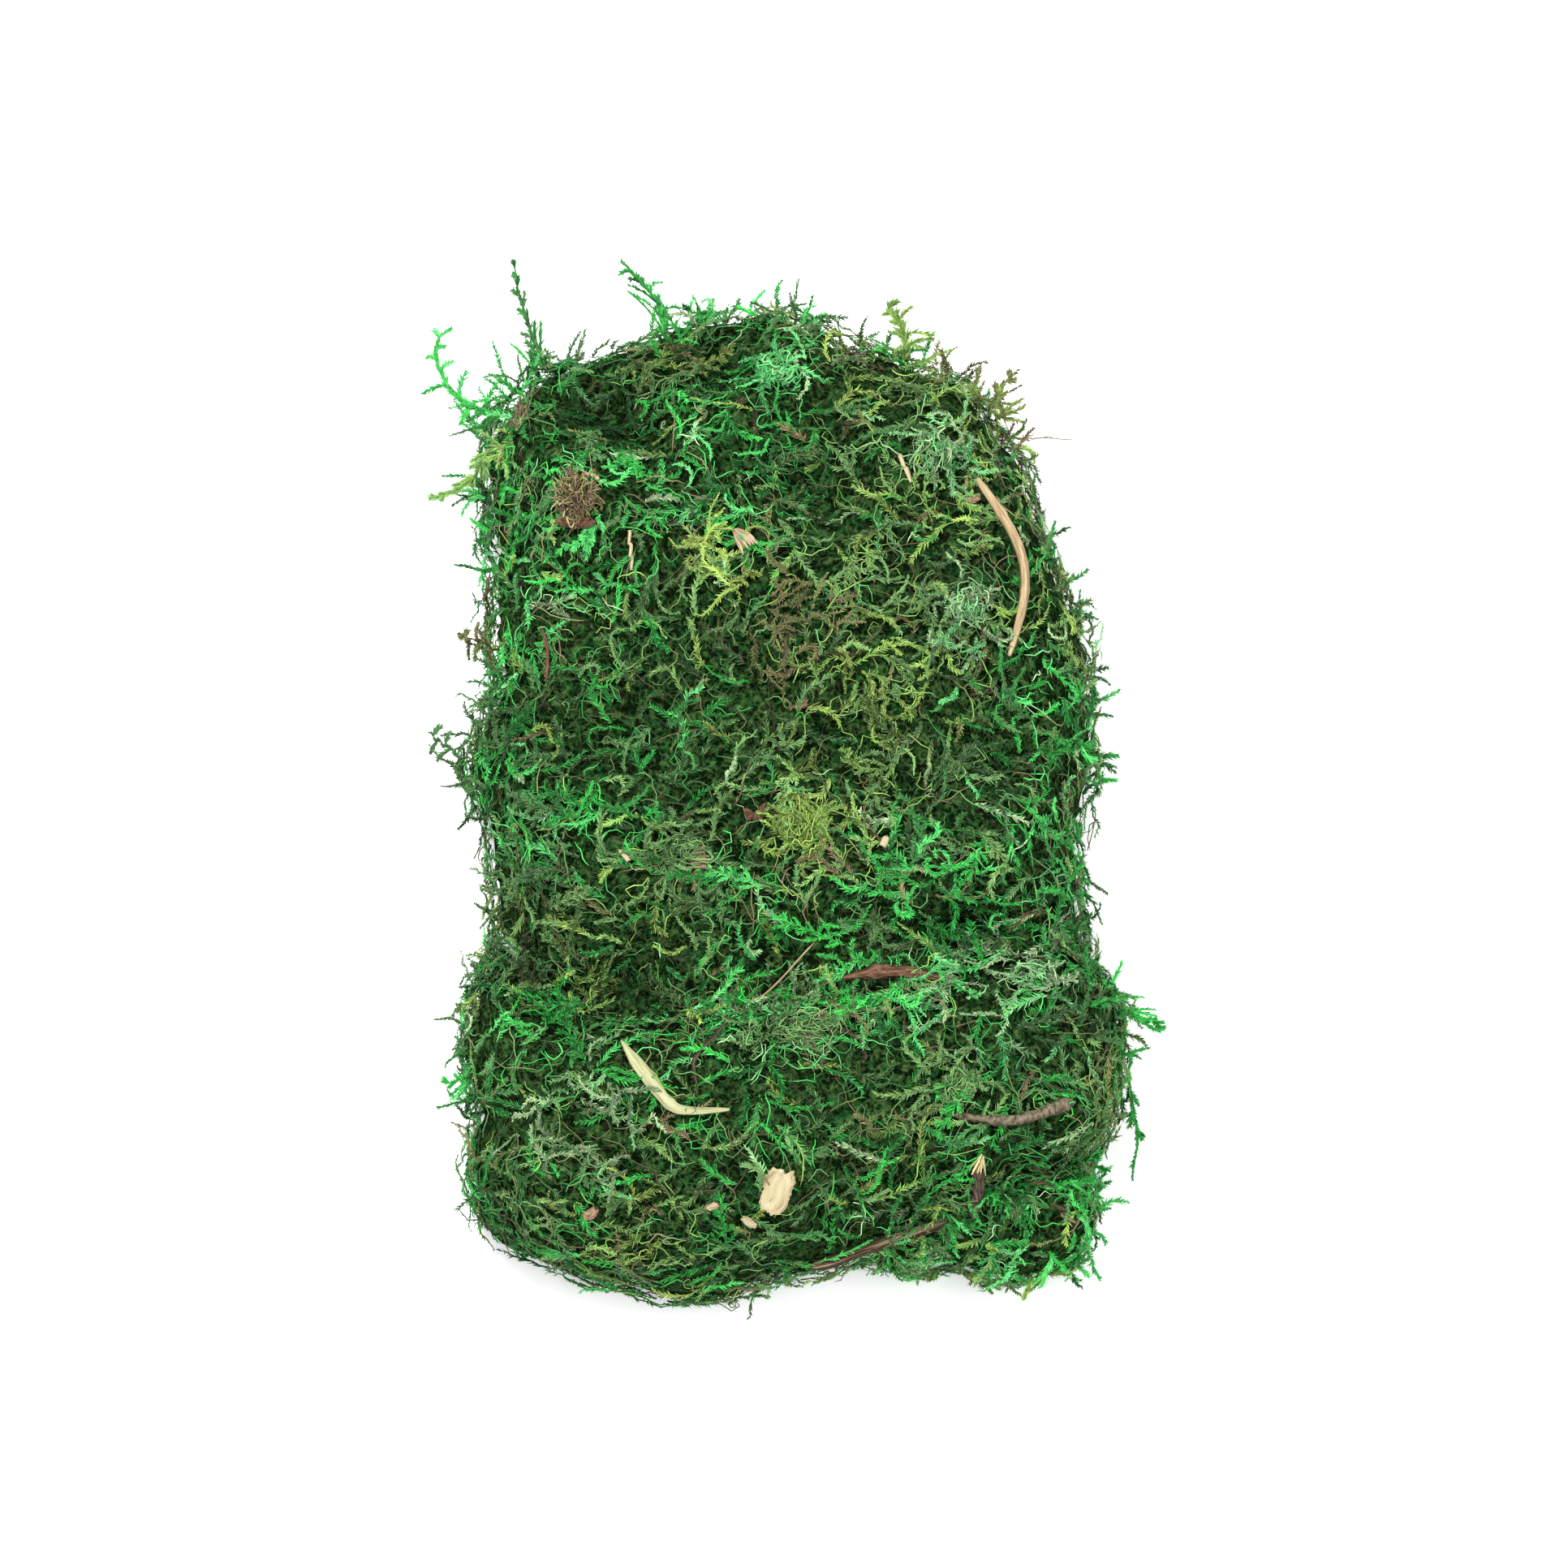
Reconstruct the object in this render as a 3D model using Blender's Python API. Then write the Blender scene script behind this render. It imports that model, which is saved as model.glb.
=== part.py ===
# A pressed wad of dyed sheet moss, as it comes out of its bag, with the straws, twigs, chips
# and stray shoots that are caught in it. The moss pieces are solids that reach the tips of
# their leaves.
#
# Metres, +Z up. The origin is on the surface that the wad lies on, under its middle, and +Y
# runs along it. All sizes and places below are in millimetres until a mesh is made.
import math

import bmesh
import bpy
from mathutils import Vector
from mathutils.bvhtree import BVHTree

# Driving dimensions
MM = 0.001
GAP = 0.3  # left between two pieces that touch
PAD_HEIGHT = 48
FOLD_HEIGHT = 44
TUFT_HEIGHT = 27
EDGE_HEIGHT = 14  # where an outer side stands out furthest
SEAM_HEIGHT = 31  # up to where two wads are pressed together
TUCK = 5  # how far the underside draws in below an outer side
SPACING = 5.6  # between the corners of an outline
LEVELS = 9  # of the domed top, from its edge to the middle
STEP = 2.5  # between the rings of a stick, stem or shoot

# The line along which the upper pad and the fold below it are pressed together, left to right
SEAM = [(-61.5, -37), (-48, -42), (-30, -45.5), (-10, -45), (8, -42), (25, -38), (42, -33), (57, -31)]
# The line along which the corner tuft is pressed to the fold, left to right
TUFT_SEAM = [(20.5, -85.5), (30, -81), (40, -77), (50, -73.5), (57, -71)]
PAD_SIDE = [
    (58, -28), (56.5, -15), (56, -2), (59, 12), (58, 30), (53.5, 41), (48.5, 51), (46.5, 65),
    (40, 76), (33, 86.5), (21, 89), (8, 94), (-2, 99), (-18, 98), (-35, 92), (-50, 89),
    (-59.5, 80), (-62.5, 62), (-61, 40), (-60, 24), (-65, 11), (-63, -2), (-60.5, -18),
    (-61.5, -31),
]
FOLD_LEFT = [
    (-63.5, -42), (-65, -52), (-62.5, -65), (-65, -73), (-63, -82), (-55, -89),
    (-45, -94), (-33.5, -97), (-17, -97.5), (-1, -93), (8, -88.5), (15, -86.5),
]
FOLD_RIGHT = [(62.5, -64), (65, -52), (64.5, -42), (61, -35)]
TUFT_SIDE = [(21, -90), (28, -92.5), (38, -94), (48, -92.5), (55, -88.5), (58, -82), (57.5, -75.5)]

# Each material's colour and roughness
MATERIALS = {
    "dyed_moss": ((0.04, 0.17, 0.05), 0.9),
    "brown_moss": ((0.10, 0.07, 0.03), 0.9),
    "pale_straw": ((0.66, 0.50, 0.26), 0.6),
    "cream_wood": ((0.80, 0.66, 0.42), 0.7),
    "grey_twig": ((0.17, 0.13, 0.09), 0.8),
    "dark_bark": ((0.08, 0.06, 0.045), 0.8),
    "red_bark": ((0.20, 0.07, 0.04), 0.75),
    "seed_husk": ((0.45, 0.28, 0.18), 0.65),
}

# Shoots that stand out of the wad: the points along each, from tip to root, and the greatest
# distance of its leaf tips from its stem
SHOOTS = {
    "hook_shoot": ([(-68.5, 95, 22), (-71, 93, 22), (-70.5, 88, 21), (-68, 83, 20), (-63, 80, 20)], 1.3),
    "tall_shoot": ([(-55.7, 109, 20), (-54.2, 100, 21), (-52, 93.5, 22), (-50, 89, 25)], 1.4),
    "plume_shoot": ([(-34.5, 108.5, 22), (-30.2, 104, 23), (-26.5, 98.5, 25), (-26, 92, 31)], 1.6),
    "thin_shoot": ([(43.8, 87, 24), (40.3, 82, 24), (41, 77, 25)], 0.7),
    "seed_stem": ([(57, 72, 22), (53, 71.6, 24), (49.5, 72, 26), (46, 71, 29)], 0.6),
    "feather_shoot": ([(-72, 61.5, 22), (-67, 62.5, 25), (-61, 64.5, 28), (-55, 67, 33)], 1.8),
    "curled_shoot": ([(-66.5, 33.5, 20), (-64, 32, 21), (-60, 32, 22)], 1.1),
    "left_shoot": ([(-71, 14, 18), (-68.5, 11, 20), (-65, 8.5, 22)], 1.1),
    "low_left_shoot": ([(-69.5, -56.5, 18), (-67, -56.2, 18), (-64, -56, 22)], 1.2),
    "right_shoot": ([(71, -47, 20), (68.5, -45, 21), (64, -43, 23)], 1.3),
    "hanging_shoot": ([(67, -72.5, 5), (67.5, -66, 10), (66.5, -58, 15), (64, -52, 21)], 0.8),
    "crown_shoot": ([(19, 99.5, 22), (21.5, 95.5, 23), (22, 91, 25)], 1.3),
}

# Sticks, straws and barks that lie on the moss: points, which need no height on top of it, half
# widths along them, how thick each is for its width, whether it keeps straight over dips, and
# its material
STICKS = {
    "straw_stem": ([(36, 58.5), (40.5, 52), (44.4, 44), (44.8, 35.5), (42, 24.5)],
                   [0.5, 1.1, 1.05, 1.0, 0.95, 0.4], 0.8, True, "pale_straw"),
    "grass_blade": ([(-33.4, -53), (-29.5, -58.8), (-24.8, -64.8), (-21.5, -66.6), (-13.6, -66.4)],
                    [0.3, 1.3, 1.4, 1.1, 0.9, 0.7, 0.4], 0.3, False, "cream_wood"),
    "knobbly_twig": ([(30.5, -67.6), (40.6, -68.7), (48.4, -66.6), (53, -64.4)],
                     [0.4, 0.8, 0.9, 1.0, 1.35, 1.1, 1.45, 1.2, 1.6, 1.3], 1.0, True, "grey_twig"),
    "split_stick": ([(4, -94.2, 25), (16, -90, 25), (28, -85.8, 25)],
                    [0.8, 1.1, 1.0, 1.05, 1.0, 0.9], 0.9, True, "dark_bark"),
    "bark_sliver": ([(50, -81.5), (54.5, -85.5)], [0.4, 0.9, 0.8, 0.5], 0.6, True, "grey_twig"),
    "bark_strip": ([(10, -39.6), (19, -38), (28.5, -39.2)],
                   [0.4, 1.0, 1.2, 0.9, 0.5], 0.4, True, "red_bark"),
    "short_straw": ([(-32.4, 47.4), (-31.9, 40)], [0.4, 0.45, 0.4], 0.9, True, "pale_straw"),
    "flat_straw": ([(20.4, 63.6), (22.8, 58.4)], [0.4, 0.5, 0.4], 0.5, True, "cream_wood"),
    "cream_stick": ([(-42, 60.3), (-38.6, 58.7)], [0.4, 0.6, 0.5], 0.8, True, "cream_wood"),
    "red_stem": ([(-49.6, 30), (-48.3, 25), (-48.6, 19.4)], [0.35, 0.4, 0.35], 1.0, False, "red_bark"),
    "rootlet": ([(-12.5, -46.5), (-15.6, -51.1), (-19.7, -56.2), (-19, -61.5)],
                [0.25, 0.4, 0.35, 0.25], 1.0, False, "grey_twig"),
    "pale_thread": ([(3.1, -33.4), (-4.7, -41.3), (-10.5, -45)],
                    [0.2, 0.25, 0.2], 1.0, False, "pale_straw"),
}

# Short pieces: middle, half length, greatest half width, thickness for its width, the way it
# points in degrees, and its material
BITS = {
    "wood_chip": ((-3.6, -82.4), 4.2, 3.2, 0.16, 72, "cream_wood"),
    "seed_husk": ((-10.3, 45), 3.4, 1.2, 0.6, 112, "seed_husk"),
    "leaf_bud": ((35.3, -80.6), 4.3, 1.5, 0.8, 80, "dark_bark"),
    "curled_scale": ((-18.3, -16.8), 2.5, 1.3, 0.4, 8, "red_bark"),
    "bark_chip": ((-7.7, -8), 2.2, 1.2, 0.5, 100, "red_bark"),
    "dark_flake": ((4.7, -47), 1.7, 1.1, 0.4, 60, "red_bark"),
    "brown_moss_knot": ((-42.6, 54), 6.2, 3.9, 0.7, 75, "brown_moss"),
    "pink_chip": ((35, 55.2), 1.4, 0.9, 0.5, 30, "seed_husk"),
    "pale_chip": ((17.4, -13.7), 1.2, 0.8, 0.5, 70, "cream_wood"),
    "cream_chip": ((-9, -87.6), 1.7, 0.8, 0.4, -28, "cream_wood"),
    "low_chip": ((-16, -85), 1.3, 0.8, 0.5, 15, "seed_husk"),
    "brown_chip": ((-39.8, -86), 1.6, 1.1, 0.5, 35, "seed_husk"),
    "left_chip": ((-33.2, -16.8), 1.5, 0.6, 0.5, 130, "cream_wood"),
}
BIT_OUTLINE = [0.45, 0.85, 1.0, 0.9, 0.7, 0.35]  # widths along a short piece, for its greatest


def clear_scene():
    for old in list(bpy.data.objects):
        bpy.data.objects.remove(old, do_unlink=True)


def make_material(name):
    colour, roughness = MATERIALS[name]
    material = bpy.data.materials.new(name)
    material.use_nodes = True
    shader = material.node_tree.nodes["Principled BSDF"]
    shader.inputs["Base Color"].default_value = (*colour, 1)
    shader.inputs["Roughness"].default_value = roughness
    shader.inputs["Metallic"].default_value = 0
    material.diffuse_color = (*colour, 1)
    return material


def smooth(points, steps=8):
    """Points along the Catmull-Rom curve through the given ones, both ends included."""
    knots = [Vector(p) for p in points]
    knots = [2 * knots[0] - knots[1], *knots, 2 * knots[-1] - knots[-2]]
    curve = []
    for a, b, c, d in zip(knots, knots[1:], knots[2:], knots[3:]):
        for i in range(steps):
            t = i / steps
            bend = (2 * a - 5 * b + 4 * c - d) * t * t + (3 * b - a - 3 * c + d) * t**3
            curve.append(b + ((c - a) * t + bend) / 2)
    return [*curve, knots[-2]]


def evenly(curve, spacing):
    """The curve's length walked in equal steps of about the spacing, both ends included."""
    lengths = [0]
    for a, b in zip(curve, curve[1:]):
        lengths.append(lengths[-1] + (b - a).length)
    count = max(2, round(lengths[-1] / spacing))
    found = []
    k = 0
    for i in range(count + 1):
        at = lengths[-1] * i / count
        while k < len(curve) - 2 and lengths[k + 1] < at:
            k += 1
        part = (at - lengths[k]) / (lengths[k + 1] - lengths[k])
        found.append(curve[k].lerp(curve[k + 1], min(part, 1)))
    return found


def lumps(x, y):
    """How far the pressed moss stands above or below its dome at a place."""
    broad = 1.9 * math.sin(x / 12 + 1.3) * math.sin(y / 14 + 0.5)
    fine = 1.1 * math.sin(x / 5.5 - y / 8) + 0.8 * math.sin(x / 7 + y / 4.6 + 2)
    return broad + fine


def wad_rings(outline, edges, tucks, spine, height, power):
    """Rings of corners from the flat underside, round the bulging side and up the dome.

    A ring's corners lie between the outline and the nearest point of the spine, which runs
    along X. The top follows a superellipse of the given power, with lumps.
    """
    low, high, middle = spine
    rings = []
    for angle in (-90, -40, *(90 * k / LEVELS for k in range(LEVELS))):
        turn = math.radians(angle)
        ring = []
        for corner, edge, tuck in zip(outline, edges, tucks):
            centre = Vector((min(max(corner.x, low), high), middle))
            arm = corner - centre
            if angle < 0:
                place = corner - arm.normalized() * tuck * (1 - math.cos(turn))
                z = edge * (1 + math.sin(turn))
            else:
                place = centre + arm * math.cos(turn) ** (2 / power)
                rise = math.sin(turn) ** (2 / power)
                z = edge + (height + lumps(*place) - edge) * rise
            ring.append(Vector((*place, z)))
        rings.append(ring)
    return rings


def softened(values, rounds=2):
    """Values round a closed outline, each averaged with its neighbours."""
    for _ in range(rounds):
        values = [(values[i - 1] + values[i] + values[(i + 1) % len(values)]) / 3
                  for i in range(len(values))]
    return values


def ringed_faces(rings, sides):
    """Quads between successive rings, and one face on the first ring and on the last."""
    faces = [list(range(sides))[::-1]]
    for ring in range(rings - 1):
        for i in range(sides):
            a, b = ring * sides + i, ring * sides + (i + 1) % sides
            faces.append([a, b, b + sides, a + sides])
    faces.append([(rings - 1) * sides + i for i in range(sides)])
    return faces


def make_object(name, corners, faces, material):
    """A closed object whose origin is at its first corner, facing outwards."""
    origin = corners[0]
    shape = bmesh.new()
    made = [shape.verts.new((corner - origin) * MM) for corner in corners]
    for face in faces:
        shape.faces.new([made[i] for i in face])
    bmesh.ops.triangulate(shape, faces=[f for f in shape.faces if len(f.verts) > 4])
    bmesh.ops.recalc_face_normals(shape, faces=shape.faces)
    mesh = bpy.data.meshes.new(name)
    shape.to_mesh(mesh)
    shape.free()
    mesh.shade_smooth()
    mesh.set_sharp_from_angle(angle=math.radians(50))
    mesh.materials.append(material)
    piece = bpy.data.objects.new(name, mesh)
    piece.location = origin * MM
    bpy.context.collection.objects.link(piece)
    return piece


def make_wad(name, sides, spine, height, power, material):
    """A domed wad with a flat underside. Each side is its points and whether it is a seam,
    where it is upright against its neighbour. Returns its corners and faces too."""
    outline, edges, tucks = [], [], []
    for points, seam in sides:
        curve = evenly(smooth(points), SPACING)
        outline += curve
        edges += [SEAM_HEIGHT * height / PAD_HEIGHT if seam else EDGE_HEIGHT] * len(curve)
        tucks += [0 if seam else TUCK] * len(curve)
    rings = wad_rings(outline, softened(edges), softened(tucks), spine, height, power)
    corners = [corner for ring in rings for corner in ring]
    faces = ringed_faces(len(rings), len(outline))
    return make_object(name, corners, faces, material), corners, faces


def shifted(points, down):
    return [(x, y - down) for x, y in points]


def make_wads(material):
    """The three wads, and a tree of all their faces for laying the small pieces on them."""
    seam_gap, tuft_gap = 1.2 * GAP, 1.4 * GAP
    wads = [
        make_wad("upper_pad", [(PAD_SIDE, False), (SEAM, True)],
                 (-18, 16, 26), PAD_HEIGHT, 2.9, material),
        make_wad("lower_fold", [(shifted(SEAM, seam_gap)[::-1], True), (FOLD_LEFT, False),
                                (TUFT_SEAM, True), (FOLD_RIGHT, False)],
                 (-38, 38, -66), FOLD_HEIGHT, 2.5, material),
        make_wad("corner_tuft", [(shifted(TUFT_SEAM, tuft_gap)[::-1], True), (TUFT_SIDE, False)],
                 (34, 48, -83), TUFT_HEIGHT, 2.4, material),
    ]
    corners, faces = [], []
    for _, own_corners, own_faces in wads:
        faces += [[i + len(corners) for i in face] for face in own_faces]
        corners += own_corners
    return [wad[0] for wad in wads], BVHTree.FromPolygons(corners, faces)


def top_of(tree, x, y):
    """The height of the moss at a place, or 0 beside it."""
    found = tree.ray_cast(Vector((x, y, 200)), Vector((0, 0, -1)))[0]
    return found.z if found else 0


def crowded(tree, point, reach):
    """How much further a ball of this radius must move to clear the moss, and which way."""
    place, normal, _, _ = tree.find_nearest(point)
    away = point - place
    outside = away.length if away.dot(normal) > 0 else -away.length
    way = away.normalized() * (1 if outside > 0 else -1) if away.length > 1e-4 else normal
    return reach + GAP - outside, way


def pushed_out(tree, point, reach):
    """The point, moved off the moss until a ball of this radius clears it."""
    for _ in range(8):
        short, way = crowded(tree, point, reach)
        if short <= 0:
            break
        point = point + way * (short + 0.01)
    return point


def lifted(tree, path, reach, rigid):
    """The path, raised in small steps until it clears the moss: all of it at once if it is
    rigid, or else only the points that are too near or that end a stretch that is."""
    rise = Vector((0, 0, 0.15))
    for _ in range(200):
        spots = [path[0]]
        for a, b in zip(path, path[1:]):
            spots += [(a + b) / 2, b]
        near = [crowded(tree, p, reach)[0] > 0 for p in spots]
        if not any(near):
            break
        near = [False, *near, False]
        path = [p + rise if rigid or any(near[2 * i:2 * i + 3]) else p for i, p in enumerate(path)]
    return path


def laid(tree, points, reach, straight):
    """A path over the moss at the given places, or through them where they have a height. A
    straight one keeps its line over the dips, and any other follows the surface."""
    path = evenly(smooth(points), STEP)
    if len(points[0]) == 2:
        path = [Vector((*p, top_of(tree, *p) + reach + GAP)) for p in path]
    if straight:
        for i, p in enumerate(path):
            p.z = at([path[0].z, path[-1].z], i / (len(path) - 1))
    return lifted(tree, path, reach, straight)


def at(values, part):
    """The value this part of the way along a list, from 0 to 1."""
    where = part * (len(values) - 1)
    k = min(int(where), len(values) - 2)
    return values[k] + (values[k + 1] - values[k]) * (where - k)


def sweep(name, path, widths, thickness, sides, material):
    """An oval profile carried along a path. Widths are half widths spread evenly along it, and
    thickness is the profile's height for its width."""
    corners = []
    last = len(path) - 1
    for i, point in enumerate(path):
        ahead = (path[min(i + 1, last)] - path[max(i - 1, 0)]).normalized()
        side = ahead.cross(Vector((0, 0, 1))).normalized()
        top = side.cross(ahead)
        width = at(widths, i / last)
        for k in range(sides):
            turn = 2 * math.pi * k / sides
            across = side * math.cos(turn) + top * math.sin(turn) * thickness
            corners.append(point + across * width)
    return make_object(name, corners, ringed_faces(len(path), sides), material)


def make_shoots(tree, material):
    """Each shoot as one tapered body that reaches its leaf tips, its root on the moss."""
    for name, (points, reach) in SHOOTS.items():
        path = [pushed_out(tree, p, reach) for p in evenly(smooth(points), STEP)]
        widths = [reach * w for w in (0.35, 0.8, 1, 1, 0.95, 0.7)]
        yield sweep(name, path, widths, 0.9, 6, material)


def make_sticks(tree, materials):
    for name, (points, widths, thickness, straight, material) in STICKS.items():
        path = laid(tree, points, max(widths), straight)
        yield sweep(name, path, widths, thickness, 8, materials[material])


def make_bits(tree, materials):
    """Each short piece lies flat on the moss: a lens-shaped or angular body along its line."""
    for name, (middle, length, width, thickness, turn, material) in BITS.items():
        way = Vector((math.cos(math.radians(turn)), math.sin(math.radians(turn))))
        ends = [Vector(middle) - way * length, Vector(middle) + way * length]
        heights = [top_of(tree, *end) for end in ends]
        path = [Vector((*ends[0].lerp(ends[1], k / 5), at(heights, k / 5))) for k in range(6)]
        path = lifted(tree, path, max(thickness, 0.5) * width, True)
        widths = [width * w for w in BIT_OUTLINE]
        yield sweep(name, path, widths, thickness, 6, materials[material])


def build():
    clear_scene()
    materials = {name: make_material(name) for name in MATERIALS}
    wads, tree = make_wads(materials["dyed_moss"])
    pieces = [*wads, *make_shoots(tree, materials["dyed_moss"]),
              *make_sticks(tree, materials), *make_bits(tree, materials)]
    clump = bpy.data.objects.new("moss_clump", None)
    bpy.context.collection.objects.link(clump)
    for piece in pieces:
        piece.parent = clump


build()
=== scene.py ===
import math

import bpy
import numpy as np
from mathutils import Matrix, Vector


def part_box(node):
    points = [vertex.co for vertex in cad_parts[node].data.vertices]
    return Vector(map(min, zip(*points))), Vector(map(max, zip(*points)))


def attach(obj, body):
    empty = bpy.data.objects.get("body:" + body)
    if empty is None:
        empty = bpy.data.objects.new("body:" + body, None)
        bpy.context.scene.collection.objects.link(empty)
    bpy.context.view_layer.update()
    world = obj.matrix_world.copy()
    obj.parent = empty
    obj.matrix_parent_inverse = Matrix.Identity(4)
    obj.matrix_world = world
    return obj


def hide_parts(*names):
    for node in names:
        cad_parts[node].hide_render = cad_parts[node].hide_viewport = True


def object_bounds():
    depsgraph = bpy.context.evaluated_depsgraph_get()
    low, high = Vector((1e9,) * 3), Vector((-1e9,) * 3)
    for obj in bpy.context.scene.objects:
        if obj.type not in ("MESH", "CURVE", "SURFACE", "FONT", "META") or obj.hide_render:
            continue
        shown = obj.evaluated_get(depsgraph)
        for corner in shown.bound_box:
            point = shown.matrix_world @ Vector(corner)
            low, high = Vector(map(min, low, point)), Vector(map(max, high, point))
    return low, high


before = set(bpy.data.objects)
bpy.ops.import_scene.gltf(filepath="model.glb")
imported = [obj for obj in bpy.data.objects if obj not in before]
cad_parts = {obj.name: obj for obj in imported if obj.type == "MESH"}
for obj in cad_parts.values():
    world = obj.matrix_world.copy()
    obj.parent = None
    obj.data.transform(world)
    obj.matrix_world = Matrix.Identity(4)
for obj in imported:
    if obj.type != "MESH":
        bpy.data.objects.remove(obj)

frameBox = [list(corner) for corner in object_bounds()]
mm = 0.001
wads = ("upper_pad", "lower_fold", "corner_tuft")

view = {
    "elevation": 78.0,  # degrees above the table, nearly straight down
    "lens": 300.0,
    "sensor": 36.0,
    "frameWidth": 309.0,  # mm of table across the picture
    "aimHeight": 18.0,
    "aimShift": (-1.7, -1.75),
}


def placeCamera():
    # A long lens, set back so far that the frame's width of table fills the picture
    low, high = np.array(frameBox)
    aim = (low + high) / 2
    aim[:2] += np.array(view["aimShift"]) * mm
    aim[2] = view["aimHeight"] * mm
    away = view["frameWidth"] * mm * view["lens"] / view["sensor"]
    rise = math.radians(view["elevation"])
    camera = bpy.data.objects.new("camera", bpy.data.cameras.new("camera"))
    camera.data.lens = view["lens"]
    camera.data.sensor_width = view["sensor"]
    camera.data.clip_start = 0.01
    camera.location = aim + away * np.array([0, -math.cos(rise), math.sin(rise)])
    camera.rotation_euler = (math.pi / 2 - rise, 0, 0)
    bpy.context.collection.objects.link(camera)
    bpy.context.scene.camera = camera


studio = {
    "sky": 1.0,
    "lamps": [  # place in metres, size, watts
        ((-0.3, 0.35, 1.1), 0.25, 16.0),
        ((0.4, -0.3, 1.0), 0.8, 5.0),
    ],
    "floorColour": (0.97, 0.97, 0.97),
    "floorGlow": 0.2,
    "floorSize": 3.0,
}


def lightStudio():
    # Even white light from all round, with two disc lamps above that face the clump
    world = bpy.data.worlds.new("studio")
    world.use_nodes = True
    world.node_tree.nodes["Background"].inputs["Strength"].default_value = studio["sky"]
    world.node_tree.nodes["Background"].inputs["Color"].default_value = (1, 1, 1, 1)
    bpy.context.scene.world = world
    for i, (place, size, watts) in enumerate(studio["lamps"]):
        lamp = bpy.data.lights.new(f"lamp{i}", "AREA")
        lamp.shape = "DISK"
        lamp.size = size
        lamp.energy = watts
        holder = bpy.data.objects.new(f"lamp{i}", lamp)
        holder.location = place
        facing = np.array([0, 0, 0.02]) - np.array(place)
        tilt = math.atan2(math.hypot(facing[0], facing[1]), -facing[2])
        turn = math.atan2(facing[1], facing[0]) - math.pi / 2
        holder.rotation_euler = (tilt, 0, turn)
        bpy.context.collection.objects.link(holder)
    bpy.context.scene.view_settings.view_transform = "Standard"


def layFloor():
    # A pale square that glows a little, so that shadows on it stay faint
    half = studio["floorSize"] / 2
    corners = np.array([[-half, -half, 0], [half, -half, 0], [half, half, 0], [-half, half, 0]])
    floor = makeMesh("floor", corners, np.array([[0, 1, 2], [0, 2, 3]]))
    material, shader = plainMaterial("floorWhite", 0.9)
    shader.inputs["Base Color"].default_value = (*studio["floorColour"], 1)
    shader.inputs["Emission Color"].default_value = (1, 1, 1, 1)
    shader.inputs["Emission Strength"].default_value = studio["floorGlow"]
    floor.data.materials.append(material)


def makeMesh(name, corners, triangles, places=None, smooth=None):
    # A mesh from whole arrays. places holds a map place for each corner, smooth a flag for each triangle.
    mesh = bpy.data.meshes.new(name)
    count = len(triangles)
    mesh.vertices.add(len(corners))
    mesh.vertices.foreach_set("co", np.asarray(corners, np.float32).ravel())
    mesh.loops.add(3 * count)
    mesh.loops.foreach_set("vertex_index", np.asarray(triangles, np.int32).ravel())
    mesh.polygons.add(count)
    mesh.polygons.foreach_set("loop_start", np.arange(0, 3 * count, 3, dtype=np.int32))
    if smooth is not None:
        mesh.polygons.foreach_set("use_smooth", np.broadcast_to(smooth, count).astype(bool))
    mesh.update(calc_edges=True)
    if places is not None:
        if len(places) == len(corners):
            places = places[np.asarray(triangles).ravel()]
        layer = mesh.uv_layers.new(name="OFBake", do_init=False)
        layer.uv.foreach_set("vector", np.asarray(places, np.float32).ravel())
    piece = bpy.data.objects.new(name, mesh)
    bpy.context.collection.objects.link(piece)
    return piece


def cloud(points, size, seed):
    # Smooth noise from -1 to 1: random values on a lattice of this cell size, eased between its corners.
    lattice = np.random.default_rng(seed).uniform(-1, 1, (16, 16, 16))
    where = np.asarray(points) / size + 100.37
    cell = np.floor(where).astype(int)
    part = where - cell
    part = part * part * (3 - 2 * part)
    total = 0
    for corner in np.ndindex(2, 2, 2):
        i, j, k = ((cell + corner) % 16).T if cell.ndim == 2 else np.moveaxis((cell + corner) % 16, -1, 0)
        share = np.where(corner, part, 1 - part).prod(-1)
        total = total + lattice[i, j, k] * share
    return total


def unit(vectors):
    # Vectors divided by their lengths
    return vectors / np.maximum(np.linalg.norm(vectors, axis=-1, keepdims=True), 1e-12)


def boxOf(name):
    # The lowest and highest corner of a node's box
    return [np.array(corner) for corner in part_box(name)]


def onBox(name, x, y):
    # The place at these parts of a node's box, at its top
    low, high = boxOf(name)
    return low + (high - low) * (x, y, 1)


def halves(quads):
    # Two triangles for each four-cornered face
    return [quads[:, [0, 1, 2]], quads[:, [0, 2, 3]]]


def nodeTriangles(name):
    # A frame node's triangles, as an array of (triangle, corner, axis) in metres
    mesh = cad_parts[name].data
    corners = np.empty(len(mesh.vertices) * 3, np.float32)
    mesh.vertices.foreach_get("co", corners)
    mesh.calc_loop_triangles()
    index = np.empty(len(mesh.loop_triangles) * 3, np.int32)
    mesh.loop_triangles.foreach_get("vertices", index)
    return corners.reshape(-1, 3)[index].reshape(-1, 3, 3).astype(float)


def closedGrid(points):
    # Corners and triangles of a closed skin: points is (level, turn, axis), each level is a ring, and the
    # first and last rings are closed with a fan round their middle
    levels, turns = points.shape[:2]
    corners = np.concatenate([points.reshape(-1, 3), [points[0].mean(0), points[-1].mean(0)]])
    k = np.arange(turns)
    first = np.arange(levels - 1)[:, None] * turns
    a, b = first + k, first + (k + 1) % turns
    quads = np.stack([a, b, b + turns, a + turns], -1).reshape(-1, 4)
    last = (levels - 1) * turns
    bottom = np.stack([np.full(turns, len(corners) - 2), (k + 1) % turns, k], 1)
    top = np.stack([np.full(turns, len(corners) - 1), last + k, last + (k + 1) % turns], 1)
    return corners, np.concatenate([*halves(quads), bottom, top])


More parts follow.
